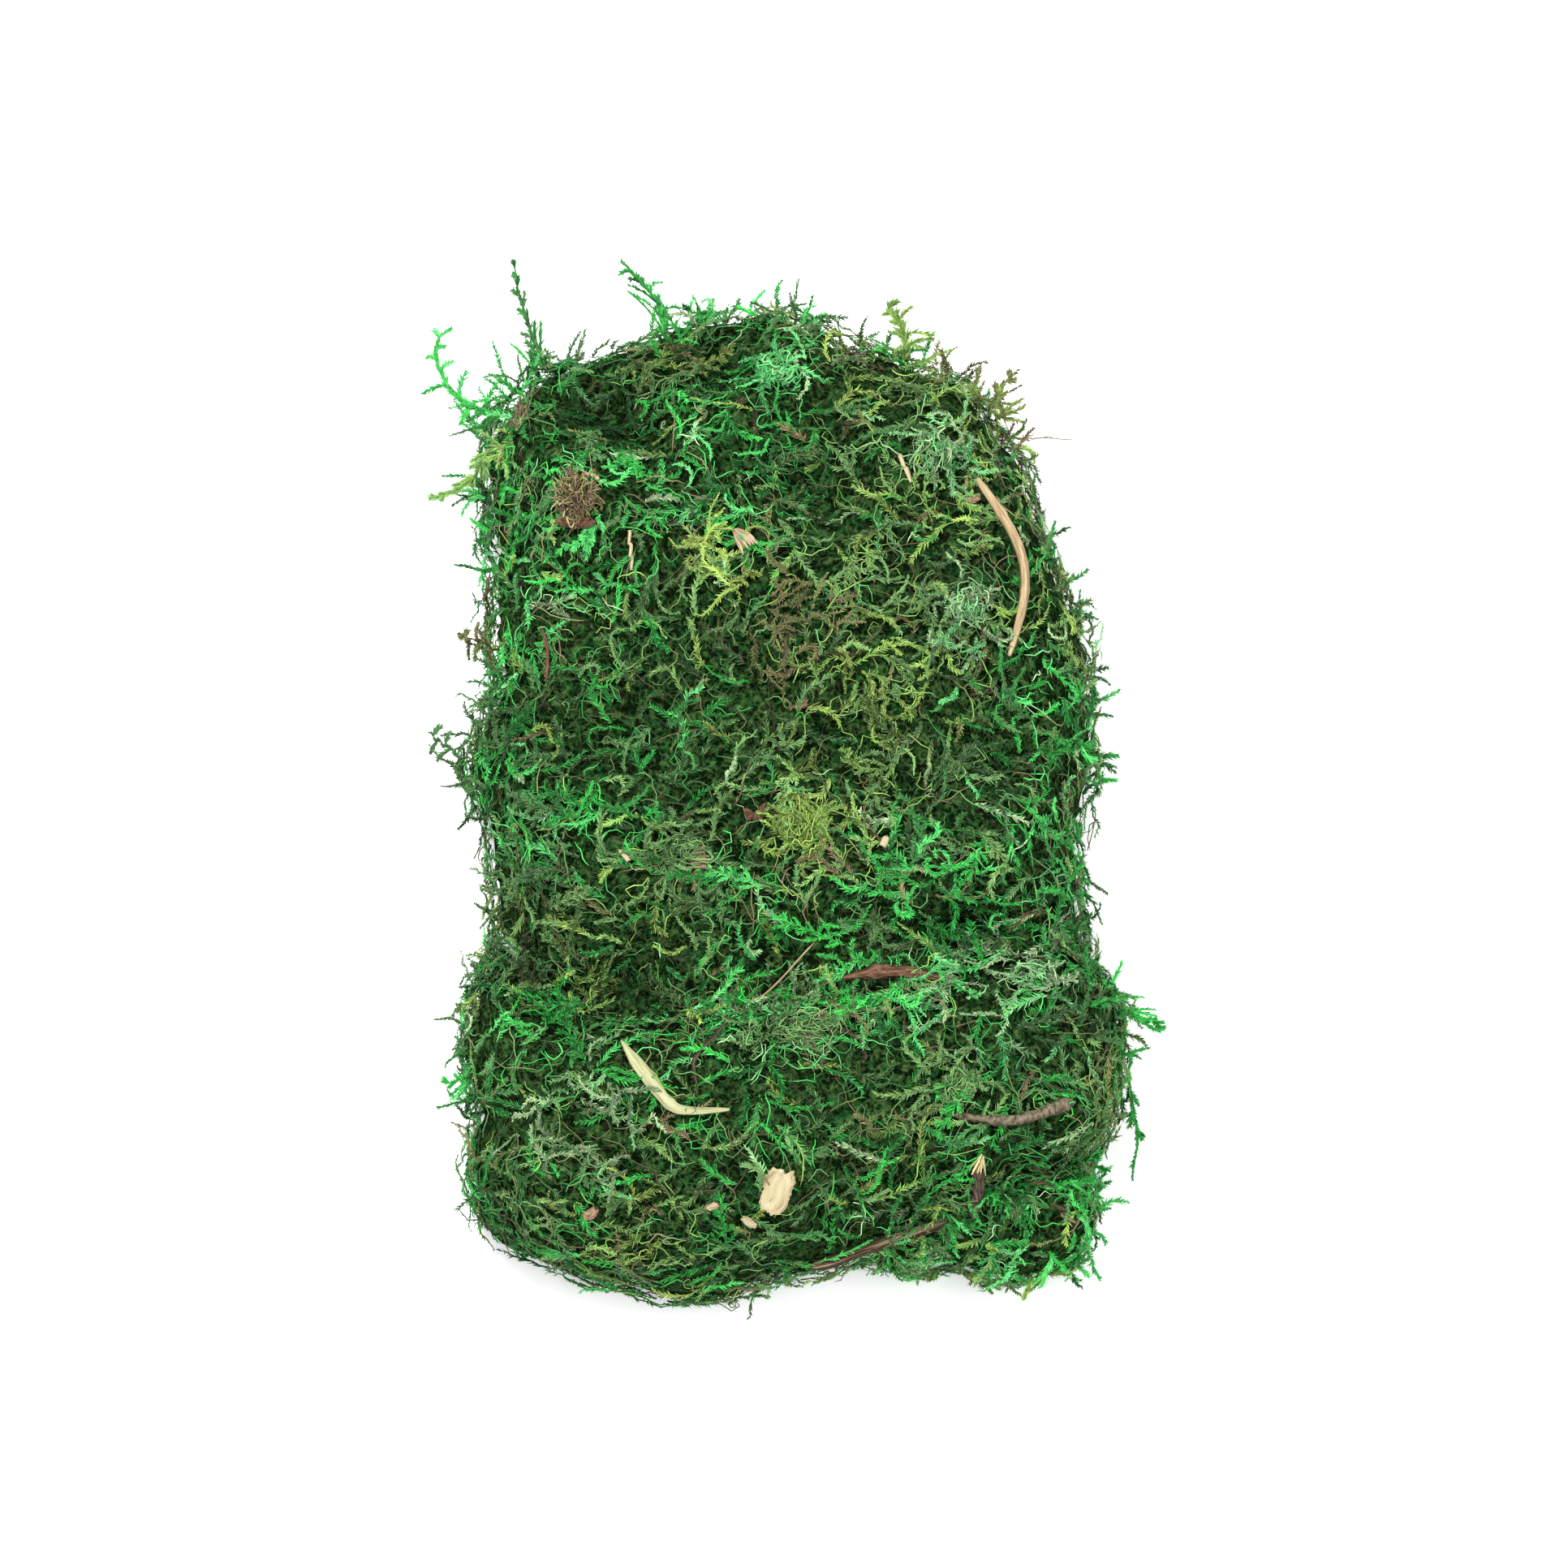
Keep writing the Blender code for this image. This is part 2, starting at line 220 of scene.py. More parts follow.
def turnOutwards(corners, triangles):
    # Flips the triangles if together they enclose a negative volume
    a, b, c = corners[triangles].transpose(1, 0, 2)
    return triangles if (np.cross(a, b) * c).sum() > 0 else triangles[:, ::-1]


depthField = {
    "cell": 1.5,  # mm
    "reach": 9,  # cells, as far as distances are measured
    "margin": 15.0,
    "samples": 700000,  # points that find the top and bottom of each column
    "localSamples": 60000,
    "rise": 7.0,  # mm round a piece that lies on the moss, where the moss comes up to it
    "tallest": 4.0,  # mm that it may come up
    "bed": 0.8,  # mm that the piece sinks in
    "lumpy": ("brown_moss_knot", "seed_husk", "bark_chip", "curled_scale"),  # these lie on it too
    "lumps": [(19.0, 2.2, 3), (9.0, 2.0, 4), (5.0, 1.2, 5)],  # size, height and seed, mm
    "hollows": [  # node, place across and along its box, radius and depth in mm
        ("upper_pad", 0.2, 0.83, 7, 9), ("upper_pad", 0.42, 0.9, 6, 6), ("upper_pad", 0.78, 0.10, 7, 8),
        ("upper_pad", 0.67, 0.09, 6, 6), ("upper_pad", 0.55, 0.72, 7, 4), ("upper_pad", 0.3, 0.42, 6, 4),
        ("upper_pad", 0.62, 0.35, 7, 4), ("upper_pad", 0.27, 0.80, 5, 6), ("upper_pad", 0.10, 0.10, 7, 5),
        ("lower_fold", 0.82, 0.42, 5, 9), ("lower_fold", 0.25, 0.86, 7, 7), ("lower_fold", 0.45, 0.88, 5, 5),
        ("lower_fold", 0.75, 0.12, 6, 6), ("lower_fold", 0.62, 0.84, 5, 5), ("lower_fold", 0.84, 0.22, 6, 7),
    ],
}


def onSurface(nodes, count, rng, weigh=None):
    # Random points on the nodes, spread by area times weigh(places, normals)
    triangles = np.concatenate([nodeTriangles(name) for name in nodes])
    cross = np.cross(triangles[:, 1] - triangles[:, 0], triangles[:, 2] - triangles[:, 0])
    share = np.linalg.norm(cross, axis=1)
    if weigh:
        share = share * weigh(triangles.mean(1), unit(cross))
    picked = rng.choice(len(triangles), count, p=share / share.sum())
    parts = rng.dirichlet((1, 1, 1), count)
    return np.einsum("tca,tc->ta", triangles[picked], parts)


def distances(filled, reach):
    # Distance in cells from each filled cell to the nearest empty one: the least sum of squares, taken
    # one axis at a time
    found = np.where(filled, reach**2, 0).astype(float)
    for axis in range(3):
        shifts = range(-reach, reach + 1)
        found = np.min([np.roll(found, shift, axis) + shift**2 for shift in shifts], axis=0)
    return np.sqrt(found)


def blurred(values):
    # A running mean of three along each axis, twice
    for axis in (0, 1, 2, 0, 1, 2):
        values = (np.roll(values, 1, axis) + values + np.roll(values, -1, axis)) / 3
    return values


def buildDepth():
    # The wads are filled column by column between their lowest and highest points, and on below the
    # table where they rest on it. The depth is the distance to the surface, positive inside, with the
    # lumps added and the hollows taken away. The moss comes up to the pieces that lie on it.
    cell = depthField["cell"] * mm
    boxes = np.array([boxOf(name) for name in wads])
    low = boxes[:, 0].min(0) - depthField["margin"] * mm
    size = np.ceil((boxes[:, 1].max(0) + depthField["margin"] * mm - low) / cell).astype(int)
    points = onSurface(wads, depthField["samples"], np.random.default_rng(1))
    column = np.round((points[:, :2] - low[:2]) / cell).astype(int)
    column = column[:, 0] * size[1] + column[:, 1]
    top = np.full(size[0] * size[1], -1.0)
    np.maximum.at(top, column, points[:, 2])
    bottom = np.full(size[0] * size[1], 1.0)
    np.minimum.at(bottom, column, points[:, 2])
    bottom[bottom < 2 * mm] = -1
    top, bottom = (edge.reshape(*size[:2], 1) for edge in (top, bottom))
    heights = low[2] + np.arange(size[2]) * cell
    filled = (heights <= top) & (heights >= bottom) & (top > 0)
    depth = distances(filled, depthField["reach"]) - distances(~filled, depthField["reach"])
    depth = blurred(depth) * cell
    grid = np.stack(np.meshgrid(*(low[a] + np.arange(size[a]) * cell for a in range(3)), indexing="ij"), -1)
    relief = sum(high * mm * cloud(grid, across * mm, seed) for across, high, seed in depthField["lumps"])
    for name, x, y, radius, deep in depthField["hollows"]:
        near = np.linalg.norm((grid - onBox(name, x, y))[..., :2], axis=-1) / (radius * mm)
        relief -= deep * mm * np.exp(-near**2)
    lying = np.concatenate([nodeTriangles(name) for name in (*debris, *plates, *depthField["lumpy"])])
    under = np.cross(lying[:, 1] - lying[:, 0], lying[:, 2] - lying[:, 0])[:, 2] < 0
    lying = lying[under].mean(1)[::3]  # places on their undersides
    gap = -sampled({"low": low, "cell": cell, "depth": depth}, "depth", lying)
    gap = np.clip(gap, 0, depthField["tallest"] * mm) + depthField["bed"] * mm
    away = np.linalg.norm(grid[:, :, 0, None, :2] - lying[:, :2], axis=-1)
    near = np.exp(-(away.min(-1) / (depthField["rise"] * mm))**2)
    relief += near[..., None] * (gap[away.argmin(-1)][..., None] - relief)
    depth += relief
    return {"low": low, "cell": cell, "depth": depth, "relief": relief,
            "slope": np.stack(np.gradient(depth, cell), -1)}


def sampled(field, kind, points):
    # The field's value at each point, blended from the eight cells round it
    where = (points - field["low"]) / field["cell"]
    top = np.array(field["depth"].shape) - 2
    cell = np.clip(np.floor(where).astype(int), 0, top)
    part = np.clip(where - cell, 0, 1)
    total = 0
    for corner in np.ndindex(2, 2, 2):
        share = np.where(corner, part, 1 - part).prod(-1)
        value = field[kind][tuple(np.moveaxis(cell + corner, -1, 0))]
        total = total + value * (share if value.ndim == share.ndim else share[..., None])
    return total


def outward(field, points):
    # The way out of the moss: against the slope of the depth
    return -unit(sampled(field, "slope", points))


def settle(field, points, depths, rounds=4):
    # Moves each point along the field's slope until it lies at its depth
    for _ in range(rounds):
        slope = sampled(field, "slope", points)
        short = depths - sampled(field, "depth", points)
        steep = np.maximum((slope**2).sum(-1), 0.05)
        points = points + slope * (np.clip(short, -0.003, 0.003) / steep)[..., None]
    return points


def scatter(field, nodes, count, depths, rng, weigh=None, near=None, lowest=0.3):
    # Random places on the moss of these nodes, each settled at a random depth. near keeps them within a
    # radius in mm of a place, seen from above, and lowest is a height in mm.
    if near:
        points = onSurface(nodes, depthField["localSamples"], rng, weigh)
        points = points[np.linalg.norm((points - near[0])[:, :2], axis=1) < near[1] * mm][:4 * count]
    else:
        points = onSurface(nodes, 3 * count, rng, weigh)
    targets = rng.uniform(*depths, len(points)) * mm
    points = settle(field, points, targets)
    kept = np.abs(sampled(field, "depth", points) - targets) < 0.8 * mm
    kept &= points[:, 2] > lowest * mm
    return points[kept][:count]


def walk(field, starts, headings, lengths, curls, depths, steps):
    # Paths that creep over the moss: each step goes ahead, settles at its depth and turns by its curl.
    # curls and depths have a value for each path and step.
    points, normals = [starts], [outward(field, starts)]
    ahead = headings
    for i in range(steps):
        normal = normals[-1]
        ahead = unit(ahead - (ahead * normal).sum(-1, keepdims=True) * normal)
        side = np.cross(normal, ahead)
        turn = curls[:, i, None]
        ahead = ahead * np.cos(turn) + side * np.sin(turn)
        point = points[-1] + ahead * (lengths / steps)[:, None]
        point = settle(field, point, depths[:, i], 2)
        point[:, 2] = np.maximum(point[:, 2], 0.35 * mm)
        ahead = unit(point - points[-1])
        points.append(point)
        normals.append(outward(field, point))
    return np.stack(points, 1), np.stack(normals, 1)


def frames(points, normals):
    # Unit vectors along, up from and across each path
    along = unit(np.gradient(points, axis=1))
    up = unit(normals - (normals * along).sum(-1, keepdims=True) * along)
    return along, up, np.cross(along, up)


def stems(points, normals, radii, sides=3):
    # Tubes round the paths: each ring lies across its path, and the ends are closed
    count, rings = points.shape[:2]
    _, up, side = frames(points, normals)
    turn = 2 * np.pi * np.arange(sides) / sides
    ring = side[:, :, None] * np.cos(turn)[:, None] + up[:, :, None] * np.sin(turn)[:, None]
    corners = (points[:, :, None] + ring * radii[:, :, None, None]).reshape(-1, 3)
    first = np.arange(count)[:, None, None] * rings * sides + np.arange(rings - 1)[:, None] * sides
    a = first + np.arange(sides)
    b = first + (np.arange(sides) + 1) % sides
    quads = np.stack([a, a + sides, b + sides, b], -1).reshape(-1, 4)
    triangles = halves(quads)
    start = np.arange(count)[:, None] * rings * sides
    for k in range(1, sides - 1):
        triangles.append(np.concatenate([start, start + k, start + k + 1], 1))
        last = start + (rings - 1) * sides
        triangles.append(np.concatenate([last, last + k + 1, last + k], 1))
    return corners, np.concatenate(triangles)


def onPath(values, part):
    # Values of each path at these parts of its length: values (path, point, axis), part (path, place)
    where = part * (values.shape[1] - 1)
    cell = np.clip(where.astype(int), 0, values.shape[1] - 2)
    rows = np.arange(len(values))[:, None]
    blend = (where - cell)[..., None]
    return values[rows, cell] * (1 - blend) + values[rows, cell + 1] * blend


def leaves(points, normals, look, rng):
    # Slim four-cornered leaves in rows along both sides of each path, pointing ahead and outwards.
    # Returns corners, triangles, and how far along and across its leaf each corner is.
    count = look["leaves"]
    part = (np.arange(count) + rng.uniform(-0.3, 0.3, (len(points), count))) / count
    part = np.clip(part * 0.98 + 0.01, 0, 1)
    ahead, up, side = (unit(onPath(v, part)) for v in frames(points, normals))
    root = onPath(points, part)
    hand = np.where(np.arange(count) % 2, 1.0, -1.0) * np.ones(part.shape)
    raised = np.radians(rng.uniform(-30, 70, part.shape))[..., None]
    out = side * hand[..., None] * np.cos(raised) + up * np.sin(raised)
    tilt = np.radians(look["lean"] + rng.normal(0, 12, part.shape))[..., None]
    way = unit(ahead * np.cos(tilt) + out * np.sin(tilt))
    size = look["leaf"] * mm * rng.uniform(0.7, 1.3, (len(points), 1)) * rng.uniform(0.7, 1.25, part.shape)
    size = (size * (0.5 + 0.5 * np.sin(np.pi * np.clip(part * 0.95 + 0.12, 0, 1))))[..., None]
    flat = unit(np.cross(way, np.cross(ahead, out))) * (0.5 * look["width"] * mm)
    ridge = unit(np.cross(way, flat)) * (0.3 * look["width"] * mm)
    base = root + way * 0.1 * size
    tip = root + way * size + ahead * size * 0.3
    corners = np.stack([base + flat, base - flat, base + ridge + way * 0.3 * size, tip], 2).reshape(-1, 3)
    four = np.arange(len(corners)).reshape(-1, 4)
    a, b, c, d = corners[four].transpose(1, 0, 2)
    inside = (np.cross(b - a, c - a) * (d - a)).sum(-1) > 0
    four[inside] = four[inside][:, [1, 0, 2, 3]]
    triangles = four[:, [[0, 1, 2], [0, 3, 1], [1, 3, 2], [2, 3, 0]]].reshape(-1, 3)
    toTip = np.tile([0.0, 0.0, 0.45, 1.0], len(four))
    return corners, triangles, toTip, np.tile([0.0, 1.0, 0.5, 0.5], len(four))


def shootMesh(points, normals, look, hue, shade, rng):
    # Leafy shoots along the paths. hue and shade place each shoot on the colour chart: hue across it,
    # and shade up it, from deep to pale. A leaf's root is deeper and its tip paler than its shoot.
    count, rings = points.shape[:2]
    taper = np.interp(np.linspace(0, 1, rings), [0, 0.2, 0.8, 1], [0.7, 1, 0.8, 0.3])
    radii = look["stem"] * mm * taper * rng.uniform(0.8, 1.2, (count, 1))
    stem, stemFaces = stems(points, normals, radii)
    paler = np.tile(np.repeat(np.linspace(0, 0.06, rings), 3), count)
    stemPlaces = np.stack([np.repeat(hue, rings * 3) + np.tile([0, 0.003, 0.006], count * rings),
                           np.repeat(shade, rings * 3) - look["dark"] + paler], 1)
    parts = [(stem, stemFaces, stemPlaces, True)]
    if look["leaves"]:
        leaf, leafFaces, toTip, across = leaves(points, normals, look, rng)
        each = len(leaf) // count
        own = np.repeat(rng.normal(0, 1, (2, len(leaf) // 4)) * [[0.015], [0.11]], 4, 1)
        leafPlaces = np.stack([np.repeat(hue, each) + own[0] + 0.006 * across,
                               np.repeat(shade, each) + own[1] - 0.14 + 0.28 * toTip + 0.02 * across], 1)
        parts.append((leaf, leafFaces, leafPlaces, False))
    return parts


def sideBranches(points, normals, look, rng):
    # Short curved paths, left and right in turn, from places along each path
    count, each = len(points), look["branches"]
    part = (np.arange(each) + 0.8 + rng.uniform(-0.3, 0.3, (count, each))) / (each + 0.8)
    ahead, up, side = (unit(onPath(v, part)) for v in frames(points, normals))
    out = side * np.where(np.arange(each) % 2, 1, -1)[:, None]
    angle = np.radians(look["angle"] + rng.normal(0, 9, part.shape))[..., None]
    way = ahead * np.cos(angle) + out * np.sin(angle) + up * rng.normal(0.1, 0.2, angle.shape)
    bend = ahead * look["bend"] - out * 0.4 * look["bend"]
    long = np.linalg.norm(np.diff(points, axis=1), axis=2).sum(1)[:, None] * look["reach"]
    long = (long * (1.2 - part) * rng.uniform(0.6, 1.2, part.shape))[..., None, None]
    t = np.linspace(0, 1, 5)[:, None]
    path = onPath(points, part)[:, :, None] + long * (way[:, :, None] * t + bend[:, :, None] * t * t)
    return path.reshape(-1, 5, 3), np.repeat(up.reshape(-1, 1, 3), 5, 1)


def joined(name, parts):
    # One piece from several sets of corners, triangles, map places and smooth flags
    corners, triangles, places, smooth = [], [], [], []
    first = 0
    for own, faces, ownPlaces, soft in parts:
        corners.append(own)
        triangles.append(faces + first)
        places.append(ownPlaces[faces.ravel()] if len(ownPlaces) == len(own) else ownPlaces)
        smooth.append(np.full(len(faces), soft))
        first += len(own)
    corners, triangles = np.concatenate(corners), np.concatenate(triangles)
    corners[:, 2] = np.maximum(corners[:, 2], 0.05 * mm)
    places = np.clip(np.concatenate(places), 0.002, 0.998)
    print(name, len(triangles), "triangles", flush=True)
    return makeMesh(name, corners, triangles, places, np.concatenate(smooth))


def plainMaterial(name, roughness, shine=0.5):
    # A material and its shader
    material = bpy.data.materials.new(name)
    material.use_nodes = True
    shader = material.node_tree.nodes["Principled BSDF"]
    shader.inputs["Roughness"].default_value = roughness
    shader.inputs["Specular IOR Level"].default_value = shine
    return material, shader


def addNode(tree, kind, settings=None, inputs=None):
    # A shader node with its settings, and its inputs set to values or linked to sockets
    node = tree.nodes.new("ShaderNode" + kind)
    for key, value in (settings or {}).items():
        setattr(node, key, value)
    for key, value in (inputs or {}).items():
        if isinstance(value, bpy.types.NodeSocket):
            tree.links.new(value, node.inputs[key])
        else:
            node.inputs[key].default_value = value
    return node


def addRamp(tree, stops, factor):
    # A colour ramp: stops are places with colours or greys
    node = addNode(tree, "ValToRGB", None, {"Fac": factor})
    bar = node.color_ramp.elements
    while len(bar) < len(stops):
        bar.new(0.5)
    for element, (place, colour) in zip(bar, stops):
        element.position = place
    for element, (place, colour) in zip(bar, stops):
        element.color = (*np.broadcast_to(colour, 3), 1)
    return node.outputs["Color"]


def calculate(tree, operation, *values):
    # The result of a Math node
    return addNode(tree, "Math", {"operation": operation}, dict(enumerate(values))).outputs[0]


def makeGroup(name, entries, exits):
    # A node group with these inputs (name: kind and value) and outputs (name: kind)
    group = bpy.data.node_groups.new(name, "ShaderNodeTree")
    for entry, (kind, value) in entries.items():
        socket = group.interface.new_socket(entry, in_out="INPUT", socket_type="NodeSocket" + kind)
        if value is not None:
            socket.default_value = value
    for way, kind in exits.items():
        group.interface.new_socket(way, in_out="OUTPUT", socket_type="NodeSocket" + kind)
    return group, group.nodes.new("NodeGroupInput"), group.nodes.new("NodeGroupOutput")


chart = {
    "hues": [  # place across the chart, and colour at middle brightness
        (0.02, (0.450, 0.380, 0.190)),  # straw
        (0.09, (0.105, 0.068, 0.045)),  # brown
        (0.17, (0.130, 0.105, 0.050)),  # olive brown
        (0.25, (0.130, 0.160, 0.052)),  # olive
        (0.33, (0.200, 0.300, 0.060)),  # yellow green
        (0.42, (0.125, 0.225, 0.052)),  # grass
        (0.50, (0.103, 0.200, 0.066)),  # leaf green
        (0.58, (0.054, 0.122, 0.043)),  # forest
        (0.66, (0.020, 0.145, 0.028)),  # deep emerald
        (0.74, (0.026, 0.275, 0.040)),  # emerald
        (0.83, (0.080, 0.370, 0.112)),  # mint
        (0.90, (0.190, 0.280, 0.140)),  # grey green
        (0.97, (0.250, 0.350, 0.185)),  # grey mint
    ],
    "shades": [(0.0, 0.03), (0.25, 0.14), (0.5, 0.44), (0.8, 0.84), (1.0, 1.0)],
    "brightest": 2.5,
}


def mossChart():
    # The shared effect: the colour at a place on the chart, its hue times its shade times some grain
    group, inside, outside = makeGroup(
        "mossChart", {"Place": ("Vector", None), "Grain": ("Float", 0.25)}, {"Color": "Color"})
    place = addNode(group, "SeparateXYZ", None, {0: inside.outputs["Place"]})
    hues = addRamp(group, chart["hues"], place.outputs["X"])
    shades = addRamp(group, chart["shades"], place.outputs["Y"])
    noise = addNode(group, "TexNoise", None, {
        "Vector": inside.outputs["Place"], "Scale": 24.0, "Detail": 2.0})
    swing = calculate(group, "MULTIPLY_ADD", noise.outputs["Fac"], 4.0, -2.0)
    grain = calculate(group, "MULTIPLY_ADD", swing, inside.outputs["Grain"], 1.0)
    bright = calculate(group, "MULTIPLY", grain, chart["brightest"])
    shade = addNode(group, "VectorMath", {"operation": "MULTIPLY"}, {0: hues, 1: shades})
    colour = addNode(group, "VectorMath", {"operation": "SCALE"}, {0: shade.outputs[0], "Scale": bright})
    group.links.new(colour.outputs[0], outside.inputs["Color"])
    return group


def leafMaterial(name, roughness, shine):
    # Leaves and stems, coloured by their place on the chart
    material, shader = plainMaterial(name, roughness, shine)
    tree = material.node_tree
    place = addNode(tree, "UVMap", {"uv_map": "OFBake"})
    colour = addNode(tree, "Group", {"node_tree": effects["mossChart"]}, {"Place": place.outputs[0]})
    tree.links.new(colour.outputs[0], shader.inputs["Base Color"])
    return material


def curlyLines():
    # The shared effect: thin curly lines like matted hair, where a warped noise crosses its middle value
    group, inside, outside = makeGroup(
        "curlyLines", {"Place": ("Vector", None), "Scale": ("Float", 200.0), "Seed": ("Float", 0.0)},
        {"Line": "Float"})
    noise = addNode(group, "TexNoise", {"noise_dimensions": "4D"}, {
        "Vector": inside.outputs["Place"], "W": inside.outputs["Seed"], "Scale": inside.outputs["Scale"],
        "Detail": 1.5, "Distortion": 0.8})
    off = calculate(group, "ABSOLUTE", calculate(group, "SUBTRACT", noise.outputs["Fac"], 0.5))
    sharp = calculate(group, "DIVIDE", -7000.0, inside.outputs["Scale"])
    line = calculate(group, "MULTIPLY_ADD", off, sharp, 1.0)
    group.links.new(calculate(group, "MAXIMUM", line, 0.0), outside.inputs["Line"])
    return group


matLook = {
    # the near-black colour between the fibres is painted shade
    "gap": (0.003, 0.007, 0.002),
    "lines": [  # scale, seed and colour of each set of fibres, deepest first, all kept dark as painted shade
        (240.0, 0.0, (0.008, 0.020, 0.006)),
        (300.0, 9.3, (0.030, 0.030, 0.013)),
        (350.0, 3.1, (0.010, 0.040, 0.010)),
        (260.0, 7.7, (0.030, 0.070, 0.020)),
        (320.0, 5.2, (0.015, 0.095, 0.022)),
        (420.0, 2.2, (0.060, 0.120, 0.035)),
    ],
}


def paintedDarkMatMaterial():
    # Matted moss under the shoots, coloured near black as painted shade for the inside of the clump: sets of
    # curly fibres over near-black gaps
    material, shader = plainMaterial("matted moss", 0.95, 0.0)
    tree = material.node_tree
    place = addNode(tree, "TexCoord").outputs["Object"]
    colour, height = None, None
    for scale, seed, tint in matLook["lines"]:
        line = addNode(tree, "Group", {"node_tree": effects["curlyLines"]},
                       {"Place": place, "Scale": scale, "Seed": seed}).outputs[0]
        mix = addNode(tree, "Mix", {"data_type": "RGBA"}, {"Factor": line})
        mix.inputs[6].default_value = (*matLook["gap"], 1)
        mix.inputs[7].default_value = (*tint, 1)
        if colour:
            tree.links.new(colour, mix.inputs[6])
        colour = mix.outputs[2]
        height = calculate(tree, "MAXIMUM", height, line) if height else line
    bump = addNode(tree, "Bump", None, {"Distance": 0.0008, "Height": height})
    tree.links.new(colour, shader.inputs["Base Color"])
    tree.links.new(bump.outputs[0], shader.inputs["Normal"])
    return material


mats = {
    "rough": 0.7,
    "halvings": 18,
    # turns and levels, and how far below the tips in mm
    "sizes": {"upper_pad": (130, 70, 3.8), "lower_fold": (110, 50, 2.9), "corner_tuft": (50, 28, 3.5)},
}


def makeMat(name, material):
    # A closed skin at one depth of the wad. Rays go out from the wad's middle, spread like an
    # ellipsoid's, and each is cut back by halving until it ends at the mat's depth.
    turns, levels, deep = mats["sizes"][name]
    low, high = boxOf(name)
    middle, reach = (low + high) / 2, (high - low) / 2
    s, r = np.meshgrid(2 * np.pi * np.arange(turns) / turns,
                       np.pi * (np.arange(levels) + 0.5) / levels - np.pi / 2)
    way = np.stack([np.cos(s) * np.cos(r), np.sin(s) * np.cos(r), np.sin(r)], -1) * reach
    near, far = np.zeros(s.shape), np.full(s.shape, 2.2)
    for _ in range(mats["halvings"]):
        half = (near + far) / 2
        point = middle + way * half[..., None]
        inside = sampled(field, "depth", point) > deep * mm
        inside &= ((point[..., :2] > low[:2]) & (point[..., :2] < high[:2])).all(-1) & (point[..., 2] > 0)
        near, far = np.where(inside, half, near), np.where(inside, far, half)
    point = middle + way * near[..., None]
    rough = cloud(point, 0.0035, 11) + 0.6 * cloud(point, 0.0017, 12)
    point = point + unit(way) * (rough * mats["rough"] * mm)[..., None]
    point[..., 2] = np.maximum(point[..., 2], 0.2 * mm)
    corners, triangles = closedGrid(point)
    piece = makeMesh(name + "_mat", corners, triangles, None, True)
    finishPiece(piece, material, [name])
    print(piece.name, len(triangles), "triangles", flush=True)


def finishPiece(piece, material, nodes):
    # Gives the piece its material and body, and hides the nodes it stands in for
    piece.data.materials.append(material)
    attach(piece, "root")
    if nodes:
        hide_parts(*nodes)


looks = {
    # radius of the stem, length, number, width and lean of the leaves, and how much darker the stem is
    "leafy": {"stem": 0.17, "leaf": 1.15, "leaves": 38, "width": 0.42, "lean": 48, "dark": 0.14},
    "woolly": {"stem": 0.28, "leaf": 0.85, "leaves": 38, "width": 0.4, "lean": 58, "dark": 0.1},
    "branch": {"stem": 0.13, "leaf": 0.9, "leaves": 14, "width": 0.42, "lean": 45, "dark": 0.1},
    "stray": {"stem": 0.32, "leaf": 1.9, "leaves": 90, "width": 0.6, "lean": 38, "dark": 0.1},
    "spray": {"stem": 0.18, "leaf": 1.05, "leaves": 34, "width": 0.42, "lean": 46, "dark": 0.1},
    "sprig": {"stem": 0.24, "leaf": 1.3, "leaves": 24, "width": 0.52, "lean": 42, "dark": 0.06},
    "hair": {"stem": 0.15, "leaves": 0, "dark": -0.05},
    "wool": {"stem": 0.17, "leaves": 0, "dark": -0.05},
}

hueZones = [  # node, place across and along its box, radius in mm, and hue
    ("upper_pad", 0.23, 0.74, 26, 0.76), ("upper_pad", 0.31, 0.92, 8, 0.35),
    ("upper_pad", 0.50, 0.86, 9, 0.84), ("upper_pad", 0.68, 0.69, 17, 0.45),
    ("upper_pad", 0.65, 0.48, 19, 0.40), ("upper_pad", 0.95, 0.28, 14, 0.73),
    ("upper_pad", 0.90, 0.42, 9, 0.81), ("upper_pad", 0.04, 0.30, 12, 0.74),
    ("upper_pad", 0.29, 0.33, 17, 0.60), ("upper_pad", 0.56, 0.20, 7, 0.36),
    ("upper_pad", 0.76, 0.88, 12, 0.50), ("upper_pad", 0.76, 0.17, 11, 0.64),
    ("lower_fold", 0.80, 0.85, 13, 0.91), ("lower_fold", 0.50, 0.75, 9, 0.93),
    ("lower_fold", 0.28, 0.68, 11, 0.73), ("lower_fold", 0.17, 0.40, 13, 0.60),
    ("lower_fold", 0.42, 0.22, 15, 0.55), ("corner_tuft", 0.55, 0.45, 17, 0.76),
]

usual = {  # what a layer has unless it says otherwise: near keeps it round one place
    "look": "leafy", "heading": (0, 0, 0), "patchy": 0, "lowest": 0.3, "near": None,
}

